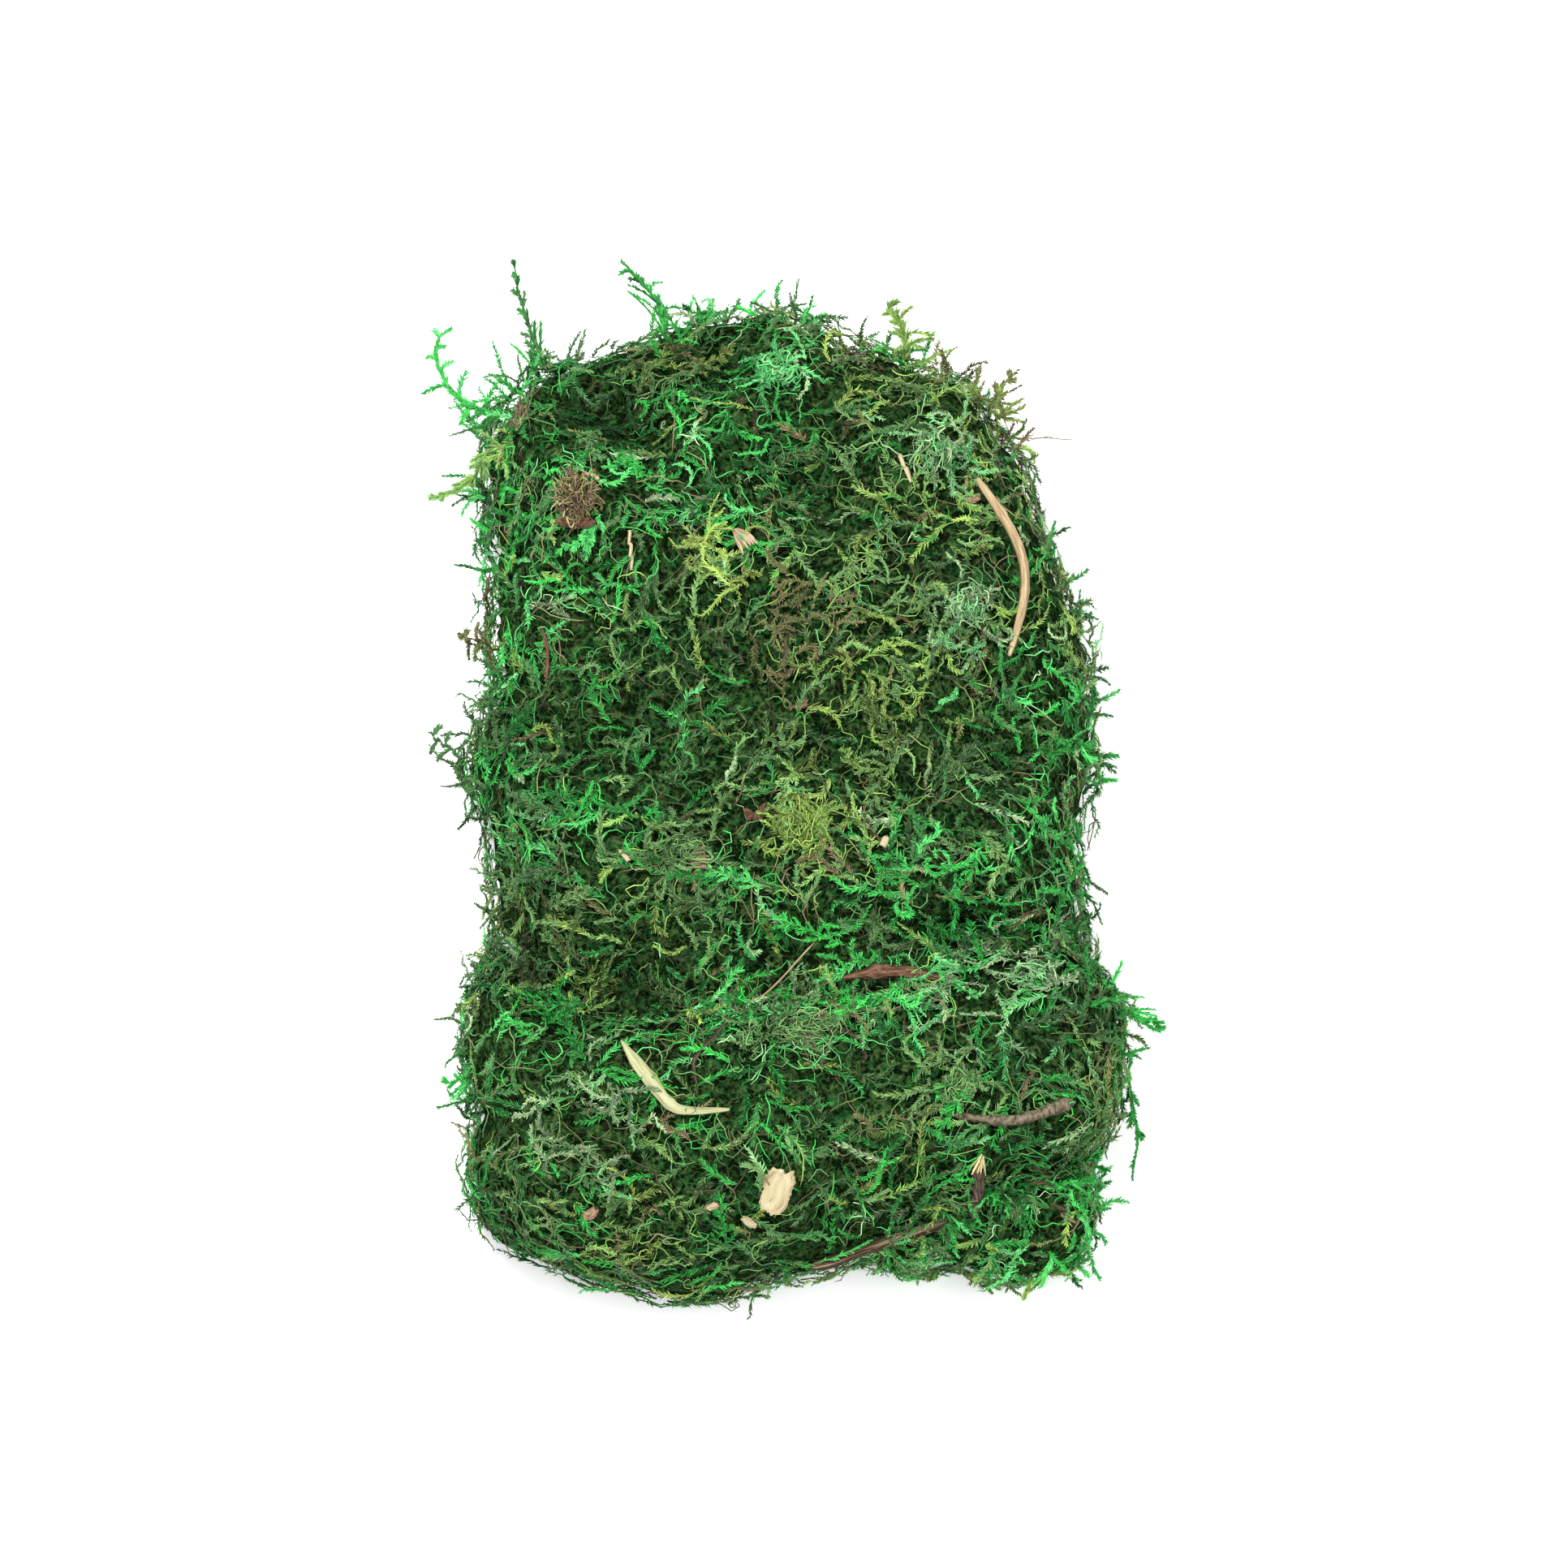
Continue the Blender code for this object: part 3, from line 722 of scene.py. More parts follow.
layers = {
    # count, length in mm, curl, depth in mm at root and tip, shade, heading and its strength,
    # and how densely the shoots grow on tops, sides and undersides
    "pad_low_shoots": {
        "nodes": ["upper_pad"], "count": 430, "length": (6, 13), "curl": 0.24, "seed": 1,
        "root": (2.0, 4.0), "tip": (1.0, 2.5), "shade": 0.38, "spread": (1, 0.6, 0.1)},
    "pad_shoots": {
        "nodes": ["upper_pad"], "count": 650, "length": (5, 13), "curl": 0.24, "seed": 2,
        "root": (1.0, 3.0), "tip": (-0.8, 1.2), "shade": 0.5, "spread": (1, 0.6, 0.1)},
    "pad_woolly_shoots": {
        "nodes": ["upper_pad"], "look": "woolly", "count": 420, "length": (5, 11), "curl": 0.34, "seed": 3,
        "root": (0.5, 2.5), "tip": (-1.0, 1.0), "shade": 0.52, "spread": (1, 0.5, 0.1)},
    "fold_shoots": {
        "nodes": ["lower_fold"], "count": 600, "length": (6, 14), "curl": 0.2, "seed": 4,
        "root": (1.0, 3.8), "tip": (-0.6, 1.6), "shade": 0.47, "heading": (1.1, 0.1, 0),
        "spread": (1, 0.75, 0.1)},
    "tuft_shoots": {
        "nodes": ["corner_tuft"], "count": 190, "length": (6, 12), "curl": 0.25, "seed": 5,
        "root": (1.0, 4.0), "tip": (-2.0, 0.8), "shade": 0.55, "spread": (1, 1, 0.1)},
    "pad_hairs": {
        "nodes": ["upper_pad"], "look": "hair", "count": 1250, "length": (4, 11), "curl": 0.6, "seed": 6,
        "root": (0.3, 2.5), "tip": (-1.0, 1.2), "shade": 0.52, "spread": (1, 0.5, 0.1)},
    "fold_hairs": {
        "nodes": ["lower_fold", "corner_tuft"], "look": "hair", "count": 800, "length": (4, 11),
        "curl": 0.5, "seed": 7, "root": (0.3, 2.5), "tip": (-1.0, 1.2), "shade": 0.48,
        "heading": (0.8, 0, 0), "spread": (1, 0.7, 0.1)},
    "dark_stems": {
        "nodes": wads, "look": "hair", "count": 420, "length": (5, 14), "curl": 0.25, "seed": 9,
        "root": (0.3, 1.5), "tip": (-1.2, 0.5), "shade": 0.36, "spread": (1, 0.8, 0.1),
        "hue": (0.085, 0.24)},
    "fringe_shoots": {
        "nodes": wads, "count": 315, "length": (6, 12), "curl": 0.3, "seed": 8, "root": (0.5, 2.5),
        "tip": (-3.6, 0.4), "shade": 0.54, "spread": (0, 1, 0.1), "patchy": 1.0, "lowest": 7},
    "fold_low_shoots": {
        "nodes": ["lower_fold"], "count": 130, "length": (7, 13), "curl": 0.2, "seed": 11,
        "root": (1.5, 3.0), "tip": (1.0, 2.5), "shade": 0.38, "heading": (1.5, 0, 0),
        "spread": (0.3, 1, 0.1)},
    "combed_shoots": {
        "nodes": ["lower_fold"], "count": 150, "length": (7, 14), "curl": 0.16, "seed": 10,
        "root": (0.0, 1.5), "tip": (-1.2, 0.6), "shade": 0.5, "heading": (2.0, 0, 0),
        "spread": (0.1, 1, 0.1), "lowest": 3},
}


patches = {
    # node, place across and along its box, radius in mm, number, look, length in mm, hue and shade
    "pale_sprigs": ("upper_pad", 0.42, 0.61, 6, 20, "woolly", (5, 12), 0.30, 0.60),
    "olive_sprigs": ("upper_pad", 0.54, 0.24, 6, 26, "woolly", (4, 9), 0.37, 0.46),
    "mint_curls": ("upper_pad", 0.49, 0.88, 5, 22, "woolly", (5, 10), 0.82, 0.46),
    "pad_grey_sprigs": ("upper_pad", 0.35, 0.21, 6, 24, "woolly", (4, 8), 0.52, 0.50),
    "right_grey_sprigs": ("upper_pad", 0.76, 0.77, 7, 26, "woolly", (5, 10), 0.88, 0.46),
    "side_grey_sprigs": ("upper_pad", 0.80, 0.54, 7, 26, "woolly", (5, 10), 0.89, 0.43),
    "brown_sprigs": ("upper_pad", 0.52, 0.52, 10, 26, "woolly", (6, 12), 0.20, 0.42),
    "ridge_sprigs": ("upper_pad", 0.71, 0.17, 9, 22, "leafy", (6, 12), 0.76, 0.48),
    "fold_grey_sprigs": ("lower_fold", 0.49, 0.76, 7, 30, "woolly", (4, 9), 0.53, 0.50),
    "fold_right_sprigs": ("lower_fold", 0.74, 0.55, 7, 26, "woolly", (5, 10), 0.50, 0.52),
    "fold_top_sprigs": ("lower_fold", 0.85, 0.92, 9, 26, "woolly", (5, 10), 0.89, 0.44),
    "fold_left_sprigs": ("lower_fold", 0.18, 0.45, 13, 26, "woolly", (6, 12), 0.90, 0.46),
}


def hueOf(points, rng):
    # Hues drift over the moss, are drawn to the zones' hues, and vary from shoot to shoot
    hue = 0.57 + 0.20 * cloud(points, 0.022, 21) + 0.13 * cloud(points, 0.009, 22)
    for name, x, y, radius, own in hueZones:
        near = np.exp(-(np.linalg.norm((points - onBox(name, x, y))[:, :2], axis=1) / (radius * mm)) ** 2)
        hue = hue + near * 0.85 * (own - hue)
    hue = np.clip(hue + rng.normal(0, 0.09, len(points)), 0.2, 0.97)
    return np.where(rng.uniform(0, 1, len(points)) < 0.18, rng.uniform(0.08, 0.97, len(points)), hue)


def headings(points, normals, lean, rng):
    # Random directions along the surface, drawn to and fro along the lean, and together where the moss
    # is combed: a slow noise gives the direction of the combing
    combed = np.stack([cloud(points, 0.012, 60 + axis) for axis in range(3)], 1)
    way = 0.8 * rng.normal(0, 1, normals.shape) + 2.4 * combed
    way = way + np.array(lean) * rng.choice([-1.6, 1.6], (len(normals), 1))
    return unit(way - (way * normals).sum(-1, keepdims=True) * normals)


def creep(layer, rng, steps):
    # The paths of a layer's shoots: each starts at a depth in its wad and creeps to another depth
    layer = {**usual, **layer}
    top, side, under = layer["spread"]

    def weigh(places, normals):
        facing = normals[:, 2]
        patchy = np.clip(0.5 + layer["patchy"] * cloud(places, 0.011, 71), 0.02, 1)
        return patchy * np.where(facing > 0.45, top, np.where(facing < -0.5, under, side))

    starts = scatter(field, layer["nodes"], layer["count"], layer["root"], rng, weigh, layer["near"],
                     layer["lowest"])
    count = len(starts)
    part = np.linspace(1 / steps, 1, steps)
    first, last = sampled(field, "depth", starts), rng.uniform(*layer["tip"], count) * mm
    depths = first[:, None] * (1 - part) + last[:, None] * part + rng.normal(0, 0.3, (count, steps)) * mm
    bend = layer["curl"] * (rng.normal(0, 0.6, (count, 1)) + rng.normal(0, 1.3, (count, steps)))
    way = headings(starts, outward(field, starts), layer["heading"], rng)
    lengths = rng.uniform(*layer["length"], count) * mm
    return walk(field, starts, way, lengths, bend, depths, steps)


def toneWithPaintedShade(points, normals, shade, rng):
    # Painted shade: shoots are coloured darker in the hollows and towards the undersides, and paler where
    # the moss rises, on top of a random tone for each shoot
    hollowDepthForShade = np.clip(-sampled(field, "relief", points) / mm, -2.5, 8)
    return shade - 0.045 * hollowDepthForShade + 0.06 * np.minimum(normals[:, 2], 0.3) + rng.normal(0, 0.11, len(points))


def growLayer(name, layer, material):
    # One piece of shoots or hairs over the wads
    layer = {**usual, **layer}
    rng = np.random.default_rng(layer["seed"])
    points, normals = creep(layer, rng, 6 if layer["look"] == "hair" else 7)
    middle = points[:, points.shape[1] // 2]
    hue = rng.uniform(*layer["hue"], len(middle)) if "hue" in layer else hueOf(middle, rng)
    shade = toneWithPaintedShade(middle, normals[:, 4], layer["shade"], rng)
    parts = shootMesh(points, normals, looks[layer["look"]], hue, shade, rng)
    finishPiece(joined(name, parts), material, None)


def growPatches(material):
    # Clumps of shoots that share one colour
    parts = []
    for k, (node, x, y, radius, count, look, length, hue, shade) in enumerate(patches.values()):
        rng = np.random.default_rng(300 + k)
        layer = {"nodes": [node], "count": count, "root": (0, 1.5), "tip": (-1.6, 0.3), "length": length,
                 "curl": 0.4, "spread": (1, 1, 0), "near": (onBox(node, x, y), radius)}
        points, normals = creep(layer, rng, 7)
        tones = hue + rng.normal(0, 0.02, len(points)), shade + rng.normal(0, 0.09, len(points))
        parts += shootMesh(points, normals, looks[look], *tones, rng)
    finishPiece(joined("coloured_clumps", parts), material, None)


fronds = {
    "count": 40, "length": (9, 16), "shade": 0.5, "branches": 9, "reach": 0.24, "angle": 52, "bend": 0.3,
}


def growFronds(material):
    # Feathery shoots on the tops: a leafy stem with leafy side branches, left and right in turn
    rng = np.random.default_rng(31)
    layer = {"nodes": ["upper_pad", "upper_pad", "lower_fold"], "count": fronds["count"], "root": (0, 1.5),
             "tip": (-1.2, 0), "length": fronds["length"], "curl": 0.12, "spread": (1, 0.15, 0)}
    points, normals = creep(layer, rng, 8)
    hue = hueOf(points[:, 4], rng)
    shade = toneWithPaintedShade(points[:, 4], normals[:, 4], fronds["shade"], rng)
    parts = shootMesh(points, normals, looks["leafy"], hue, shade, rng)
    branches, branchNormals = sideBranches(points, normals, fronds, rng)
    tones = (np.repeat(tone, fronds["branches"]) for tone in (hue, shade))
    parts += shootMesh(branches, branchNormals, looks["branch"], *tones, rng)
    finishPiece(joined("fronds", parts), material, None)


sprays = {
    # node, place across and along its box, radius in mm, number, length in mm, hue and shade
    "hook_root": ("upper_pad", 0.02, 0.89, 8, 24, (6, 13), 0.72, 0.54),
    "upper_left": ("upper_pad", 0.12, 0.95, 10, 24, (5, 10), 0.60, 0.48),
    "top_ball": ("upper_pad", 0.38, 1.0, 6, 14, (4, 9), 0.78, 0.54),
    "top": ("upper_pad", 0.5, 0.99, 8, 24, (4, 10), 0.68, 0.52),
    "upper_right": ("upper_pad", 0.68, 0.94, 7, 18, (4, 9), 0.64, 0.52),
    "brown_crown": ("upper_pad", 0.8, 0.93, 7, 18, (6, 11), 0.20, 0.44),
    "right_top": ("upper_pad", 0.87, 0.83, 9, 18, (4, 9), 0.45, 0.48),
    "right_notch": ("upper_pad", 0.93, 0.62, 9, 18, (4, 8), 0.62, 0.48),
    "right_bump": ("upper_pad", 0.98, 0.42, 12, 26, (4, 8), 0.68, 0.50),
    "right_low": ("upper_pad", 0.98, 0.18, 10, 16, (4, 8), 0.66, 0.48),
    "left_top": ("upper_pad", 0.0, 0.70, 11, 30, (4, 9), 0.72, 0.54),
    "left_middle": ("upper_pad", 0.0, 0.40, 14, 34, (5, 10), 0.56, 0.48),
    "left_low": ("upper_pad", 0.0, 0.14, 10, 16, (4, 8), 0.48, 0.46),
    "fold_left": ("lower_fold", 0.0, 0.7, 14, 22, (4, 8), 0.58, 0.48),
    "fold_right": ("lower_fold", 1.0, 0.75, 14, 22, (4, 8), 0.54, 0.46),
    "tuft_side": ("corner_tuft", 0.95, 0.5, 12, 34, (4, 9), 0.72, 0.56),
    "tuft_end": ("corner_tuft", 0.45, 0.0, 12, 22, (3, 8), 0.45, 0.48),
}


def arcs(starts, ways, lengths, curl, rng, steps=9):
    # Free paths: the heading drifts steadily to one side and wavers
    part = np.linspace(0, 1, steps)[:, None]
    drift = curl * rng.normal(0, 1, (len(starts), 1, 3)) * part
    waver = np.cumsum(rng.normal(0, 0.3, (len(starts), steps, 3)), 1)
    way = unit(ways[:, None] + drift + waver)
    points = starts[:, None] + np.cumsum(way, 1) * (lengths / steps)[:, None, None]
    points = np.concatenate([starts[:, None], points], 1)
    return points, np.broadcast_to([0, 0, 1.0], points.shape)


def sprayPaths(middle, nodes, radius, count, length, rng):
    # Loose shoots rooted in the moss round a place, headed outwards
    starts = scatter(field, nodes, count, (0.5, 2.5), rng, None, (middle, radius), 8)
    ways = unit(outward(field, starts) * (1, 1, 0.4) + rng.normal(0, 0.7, starts.shape))
    return arcs(starts, ways, rng.uniform(*length, len(starts)) * mm, 1.6, rng)


def growSprays(material):
    # Loose shoots round the outline, each place with its own hue and shade
    parts = []
    for k, (node, x, y, radius, count, length, hue, shade) in enumerate(sprays.values()):
        rng = np.random.default_rng(400 + k)
        points, normals = sprayPaths(onBox(node, x, y), [node], radius, count, length, rng)
        tones = hue + rng.normal(0, 0.06, len(points)), shade + rng.normal(0, 0.1, len(points))
        parts += shootMesh(points, normals, looks["spray"], *tones, rng)
    finishPiece(joined("loose_sprays", parts), material, None)


def smoothPath(values, count):
    # Values at even steps along the Catmull-Rom curve through the given ones
    padded = np.concatenate([2 * values[:1] - values[1:2], values, 2 * values[-1:] - values[-2:-1]])
    where = np.linspace(0, len(values) - 1, count)
    k = np.clip(where.astype(int), 0, len(values) - 2)
    t = (where - k).reshape(-1, *[1] * (values.ndim - 1))
    a, b, c, d = (padded[k + i] for i in range(4))
    return b + 0.5 * t * (c - a + t * (2 * a - 5 * b + 4 * c - d + t * (3 * (b - c) + d - a)))


def measure(name, places=9, width=0.07):
    # A node's middle line, the direction of its flat side, and its half widths across and up. Its
    # corners are weighted by how near they are to each place, in distance over the mesh from one end.
    corners, index = np.unique(np.round(nodeTriangles(name).reshape(-1, 3), 7), axis=0, return_inverse=True)
    triangles = index.reshape(-1, 3)
    axes = np.linalg.svd(corners - corners.mean(0), full_matrices=False)[2]
    edges = np.concatenate([triangles[:, [0, 1]], triangles[:, [1, 2]], triangles[:, [2, 0]]])
    span = np.linalg.norm(corners[edges[:, 0]] - corners[edges[:, 1]], axis=1)
    reach = np.full(len(corners), 9.0)
    reach[(corners @ axes[0]).argmin()] = 0
    for _ in range(60):
        for a, b in ((0, 1), (1, 0)):
            np.minimum.at(reach, edges[:, a], reach[edges[:, b]] + span)
    near = (reach / reach.max() - np.linspace(0, 1, places)[:, None]) / width
    share = np.exp(-near**2)
    share /= share.sum(1, keepdims=True)
    line = share @ corners
    line[[0, -1]] += 0.4 * (line[[0, -1]] - line[[1, -2]])  # the mean near an end falls short of it
    flat = axes[2] * np.sign(axes[2][2]) if abs(axes[2][2]) > 0.4 else np.array([0, 0, 1.0])
    _, up, side = (v[0] for v in frames(line[None], np.tile(flat, (1, places, 1))))
    off = corners - line[:, None]
    across, high = (np.sqrt(2 * (share * (off * v[:, None]).sum(-1) ** 2).sum(1)) for v in (side, up))
    return line, up, across, high


strays = {
    # look, hue, shade, branches, their reach for the shoot's length, angle and bend, and the number of
    # loose shoots at the root
    "hook_shoot": ("stray", 0.76, 0.56, 9, 0.24, 60, -0.3, 8),
    "tall_shoot": ("stray", 0.62, 0.52, 14, 0.2, 58, 0.3, 6),
    "plume_shoot": ("stray", 0.68, 0.56, 11, 0.42, 50, -0.5, 6),
    "thin_shoot": ("sprig", 0.24, 0.42, 7, 0.3, 60, 0.4, 5),
    "seed_stem": ("hair", 0.16, 0.46, 3, 0.15, 50, 0.3, 2),
    "feather_shoot": ("stray", 0.46, 0.68, 14, 0.2, 42, 0.3, 3),
    "curled_shoot": ("sprig", 0.22, 0.38, 7, 0.5, 60, -0.4, 4),
    "left_shoot": ("sprig", 0.58, 0.48, 6, 0.4, 55, -0.3, 4),
    "low_left_shoot": ("sprig", 0.75, 0.58, 6, 0.4, 50, 0.4, 3),
    "right_shoot": ("sprig", 0.72, 0.54, 7, 0.5, 50, 0.3, 3),
    "hanging_shoot": ("sprig", 0.70, 0.50, 6, 0.12, 35, 0.3, 2),
    "crown_shoot": ("stray", 0.40, 0.46, 8, 0.4, 60, -0.4, 6),
}


def growStray(name, seed, material):
    # A leafy shoot along the node's middle line and on into the moss, with leafy branches. A few loose
    # shoots stand round its root.
    kind, hue, shade, branches, reach, angle, bend, loose = strays[name]
    rng = np.random.default_rng(seed)
    line, up = measure(name)[:2]
    if sampled(field, "depth", line[:1])[0] < sampled(field, "depth", line[-1:])[0]:
        line, up = line[::-1], up[::-1]
    inside = settle(field, line[:1], np.array([2 * mm]), 10)
    line = np.concatenate([inside, (inside + line[:1]) / 2, line])
    points, normals = smoothPath(line, 18)[None], np.tile(up.mean(0), (1, 18, 1))
    points = points + np.cumsum(rng.normal(0, 0.13, points.shape), 1) * mm * [1, 1, 0.5]
    long = np.linalg.norm(np.diff(line, axis=0), axis=1).sum() / mm
    look = dict(looks[kind], leaves=int(6 * long) if looks[kind]["leaves"] else 0)
    parts = shootMesh(points, normals, look, np.array([hue]), np.array([shade]), rng)
    twigs = {"branches": branches, "reach": reach, "angle": angle, "bend": bend}
    side, sideNormals = sideBranches(points, normals, twigs, rng)
    kind = "sprig" if looks[kind]["leaves"] else "hair"
    own = hue + rng.normal(0, 0.03, branches), shade + rng.normal(0.03, 0.06, branches)
    parts += shootMesh(side, sideNormals, looks[kind], *own, rng)
    near, nearNormals = sprayPaths(inside[0], wads, 5, loose, (5, 10), rng)
    own = hue + rng.normal(0, 0.04, len(near)), shade + rng.normal(0, 0.06, len(near))
    parts += shootMesh(near, nearNormals, looks["spray"], *own, rng)
    finishPiece(joined(name + "_leaves", parts), material, [name])


felts = {
    # node, place across and along its box, half sizes in mm, hairs, hue and shade
    "oval_felt": ("upper_pad", 0.54, 0.24, (3.5, 6.0, 1.8), 90, 0.36, 0.44),
    "pad_felt": ("upper_pad", 0.35, 0.21, (5.0, 3.6, 1.8), 80, 0.52, 0.48),
    "mint_knot": ("upper_pad", 0.50, 0.88, (4.0, 3.4, 2.0), 60, 0.83, 0.46),
    "right_felt": ("upper_pad", 0.76, 0.77, (3.4, 5.0, 1.8), 60, 0.88, 0.44),
    "side_felt": ("upper_pad", 0.80, 0.54, (3.6, 5.0, 1.8), 60, 0.89, 0.42),
    "fold_felt": ("lower_fold", 0.43, 0.74, (3.0, 3.8, 1.8), 60, 0.54, 0.50),
    "wide_felt": ("lower_fold", 0.50, 0.77, (7.0, 4.2, 1.9), 120, 0.52, 0.48),
    "low_felt": ("lower_fold", 0.74, 0.55, (3.2, 4.6, 1.9), 60, 0.50, 0.50),
    "corner_felt": ("lower_fold", 0.85, 0.92, (5.0, 3.5, 1.8), 70, 0.88, 0.40),
}


def wound(middle, reach, count, rng, steps=8):
    # Hairs wound round a lumpy egg shape: short arcs of great circles that weave to and fro
    start = unit(rng.normal(0, 1, (count, 1, 3)) + [0, 0, 0.9])
    way = unit(np.cross(start, rng.normal(0, 1, start.shape)))
    t = np.linspace(0, 1, steps)[:, None] * rng.uniform(0.35, 1.1, (count, 1, 1))
    weave = rng.uniform(0.1, 0.5, (count, 1, 1)) * np.sin(rng.uniform(4, 11, (count, 1, 1)) * t)
    out = unit(start * np.cos(t) + way * np.sin(t) + np.cross(start, way) * weave)
    lumpy = 1 + 0.35 * cloud(out, 0.8, int(rng.integers(99)))[..., None]
    far = (rng.uniform(0.5, 1.1, (count, 1, 1)) + 0.12 * np.sin(5 * t + 6 * weave)) * lumpy
    return middle + out * far * np.array(reach) * mm, unit(out / np.array(reach))


def growFelts(material):
    # Hairs wound over each felted place, which lies just under the tips of the moss
    parts = []
    for k, (node, x, y, reach, count, hue, shade) in enumerate(felts.values()):
        rng = np.random.default_rng(110 + k)
        middle = settle(field, onBox(node, x, y)[None], np.array([0.6 * mm]), 8)[0]
        points, normals = wound(middle, reach, count, rng)
        tones = hue + rng.normal(0, 0.03, count), shade + rng.normal(0, 0.14, count)
        parts += shootMesh(points, normals, looks["wool"], *tones, rng)
    finishPiece(joined("felt_clumps", parts), material, None)


knot = {
    "wound": [("wool", 110, 0.85), ("branch", 50, 0.9)],  # look, number, and reach for the knot's own
    "bristles": 190, "length": (2.5, 5), "hue": 0.14, "shades": (0.42, 0.52),
}


def growKnot(material):
    # The knot of brown moss: wound hairs with short leafy shoots, and bristles that stand out all round
    rng = np.random.default_rng(91)
    low, high = boxOf("brown_moss_knot")
    middle, reach = (low + high) / 2, (high - low) / 2 / mm
    parts = []
    for look, count, share in knot["wound"]:
        points, normals = wound(middle, reach * share, count, rng)
        tones = rng.normal(knot["hue"], 0.04, count), rng.normal(knot["shades"][0], 0.15, count)
        parts += shootMesh(points, normals, looks[look], *tones, rng)
    count = knot["bristles"]
    out = unit(rng.normal(0, 1, (count, 3)) + [0, 0.3, 0.7])
    ways = unit(out + rng.normal(0, 0.45, out.shape))
    lengths = rng.uniform(*knot["length"], count) * mm
    bristles, normals = arcs(middle + out * reach * 0.55 * mm, ways, lengths, 1.0, rng, 6)
    tones = rng.normal(knot["hue"], 0.05, count), rng.normal(knot["shades"][1], 0.15, count)
    parts += shootMesh(bristles, normals, looks["hair"], *tones, rng)
    finishPiece(joined("brown_moss_ball", parts), material, ["brown_moss_knot"])


barks = {
    # stops of colour across the streaks, their fineness round and along, bump, roughness
    "straw": ([(0.24, (0.10, 0.06, 0.03)), (0.40, (0.27, 0.185, 0.10)), (0.58, (0.43, 0.33, 0.19))],
              9, 6, 0.3, 0.6),
    "blade": ([(0.26, (0.13, 0.13, 0.05)), (0.42, (0.30, 0.30, 0.15)), (0.58, (0.42, 0.42, 0.24))],
              18, 3, 0.3, 0.6),
    "cream": ([(0.26, (0.19, 0.125, 0.06)), (0.42, (0.38, 0.31, 0.18)), (0.6, (0.49, 0.43, 0.27))],
              16, 4, 0.4, 0.8),
    "twig": ([(0.3, (0.022, 0.017, 0.010)), (0.42, (0.085, 0.068, 0.043)), (0.62, (0.21, 0.175, 0.118))],
             5, 26, 0.8, 0.85),
    "split": ([(0.28, (0.010, 0.006, 0.004)), (0.42, (0.042, 0.026, 0.015)), (0.5, (0.085, 0.056, 0.034)),
               (0.6, (0.30, 0.23, 0.15))], 20, 2, 0.6, 0.85),
    "red": ([(0.26, (0.016, 0.008, 0.006)), (0.42, (0.082, 0.038, 0.022)), (0.6, (0.18, 0.10, 0.062))],
            10, 7, 0.7, 0.85),
    "husk": ([(0.26, (0.09, 0.05, 0.028)), (0.42, (0.25, 0.165, 0.10)), (0.56, (0.48, 0.37, 0.25))],
             16, 2, 0.4, 0.7),
    "pink": ([(0.26, (0.09, 0.045, 0.027)), (0.44, (0.21, 0.12, 0.075)), (0.62, (0.34, 0.22, 0.15))],
             8, 3, 0.4, 0.75),
    "bud": ([(0.26, (0.012, 0.009, 0.007)), (0.44, (0.045, 0.031, 0.022)), (0.62, (0.15, 0.11, 0.08))],
            10, 3, 0.5, 0.8),
}


def barkStreaksAndShade():
    # The shared effect: streaks that run along a piece, from noise stretched along its map, with painted
    # shade that makes them darker towards its flanks and darkest underneath, at the map's seam
    group, inside, outside = makeGroup("barkStreaksAndShade", {
        "Place": ("Vector", None), "Fineness": ("Vector", (8.0, 4.0, 1.0)), "FlankShade": ("Float", 0.4),
    }, {"StreakAndFlankShade": "Float"})
    place = addNode(group, "VectorMath", {"operation": "MULTIPLY"},
                    {0: inside.outputs["Place"], 1: inside.outputs["Fineness"]})
    noise = addNode(group, "TexNoise", None, {
        "Vector": place.outputs[0], "Scale": 1.0, "Detail": 5.0, "Roughness": 0.65, "Distortion": 0.3})
    around = addNode(group, "SeparateXYZ", None, {0: inside.outputs["Place"]}).outputs["X"]
    flank = calculate(group, "ABSOLUTE", calculate(group, "SUBTRACT", around, 0.5))
    darker = calculate(group, "MULTIPLY", flank, inside.outputs["FlankShade"])
    group.links.new(calculate(group, "SUBTRACT", noise.outputs["Fac"], darker), outside.inputs["StreakAndFlankShade"])
    return group


def barkMaterial(name):
    # Dry fibres: a ramp of colours across the streaks and their painted flank shade, which together also
    # stand up as a bump
    stops, around, lengthwise, bump, roughness = barks[name]
    material, shader = plainMaterial(name + " fibres", roughness, 0.12)
    tree = material.node_tree
    place = addNode(tree, "UVMap", {"uv_map": "OFBake"})
    streakAndFlankShade = addNode(tree, "Group", {"node_tree": effects["barkStreaksAndShade"]},
                     {"Place": place.outputs[0], "Fineness": (around, lengthwise, 1)}).outputs[0]
    tree.links.new(addRamp(tree, stops, streakAndFlankShade), shader.inputs["Base Color"])
    relief = addNode(tree, "Bump", None, {"Strength": bump, "Distance": 0.0006, "Height": streakAndFlankShade})
    tree.links.new(relief.outputs[0], shader.inputs["Normal"])
    return material


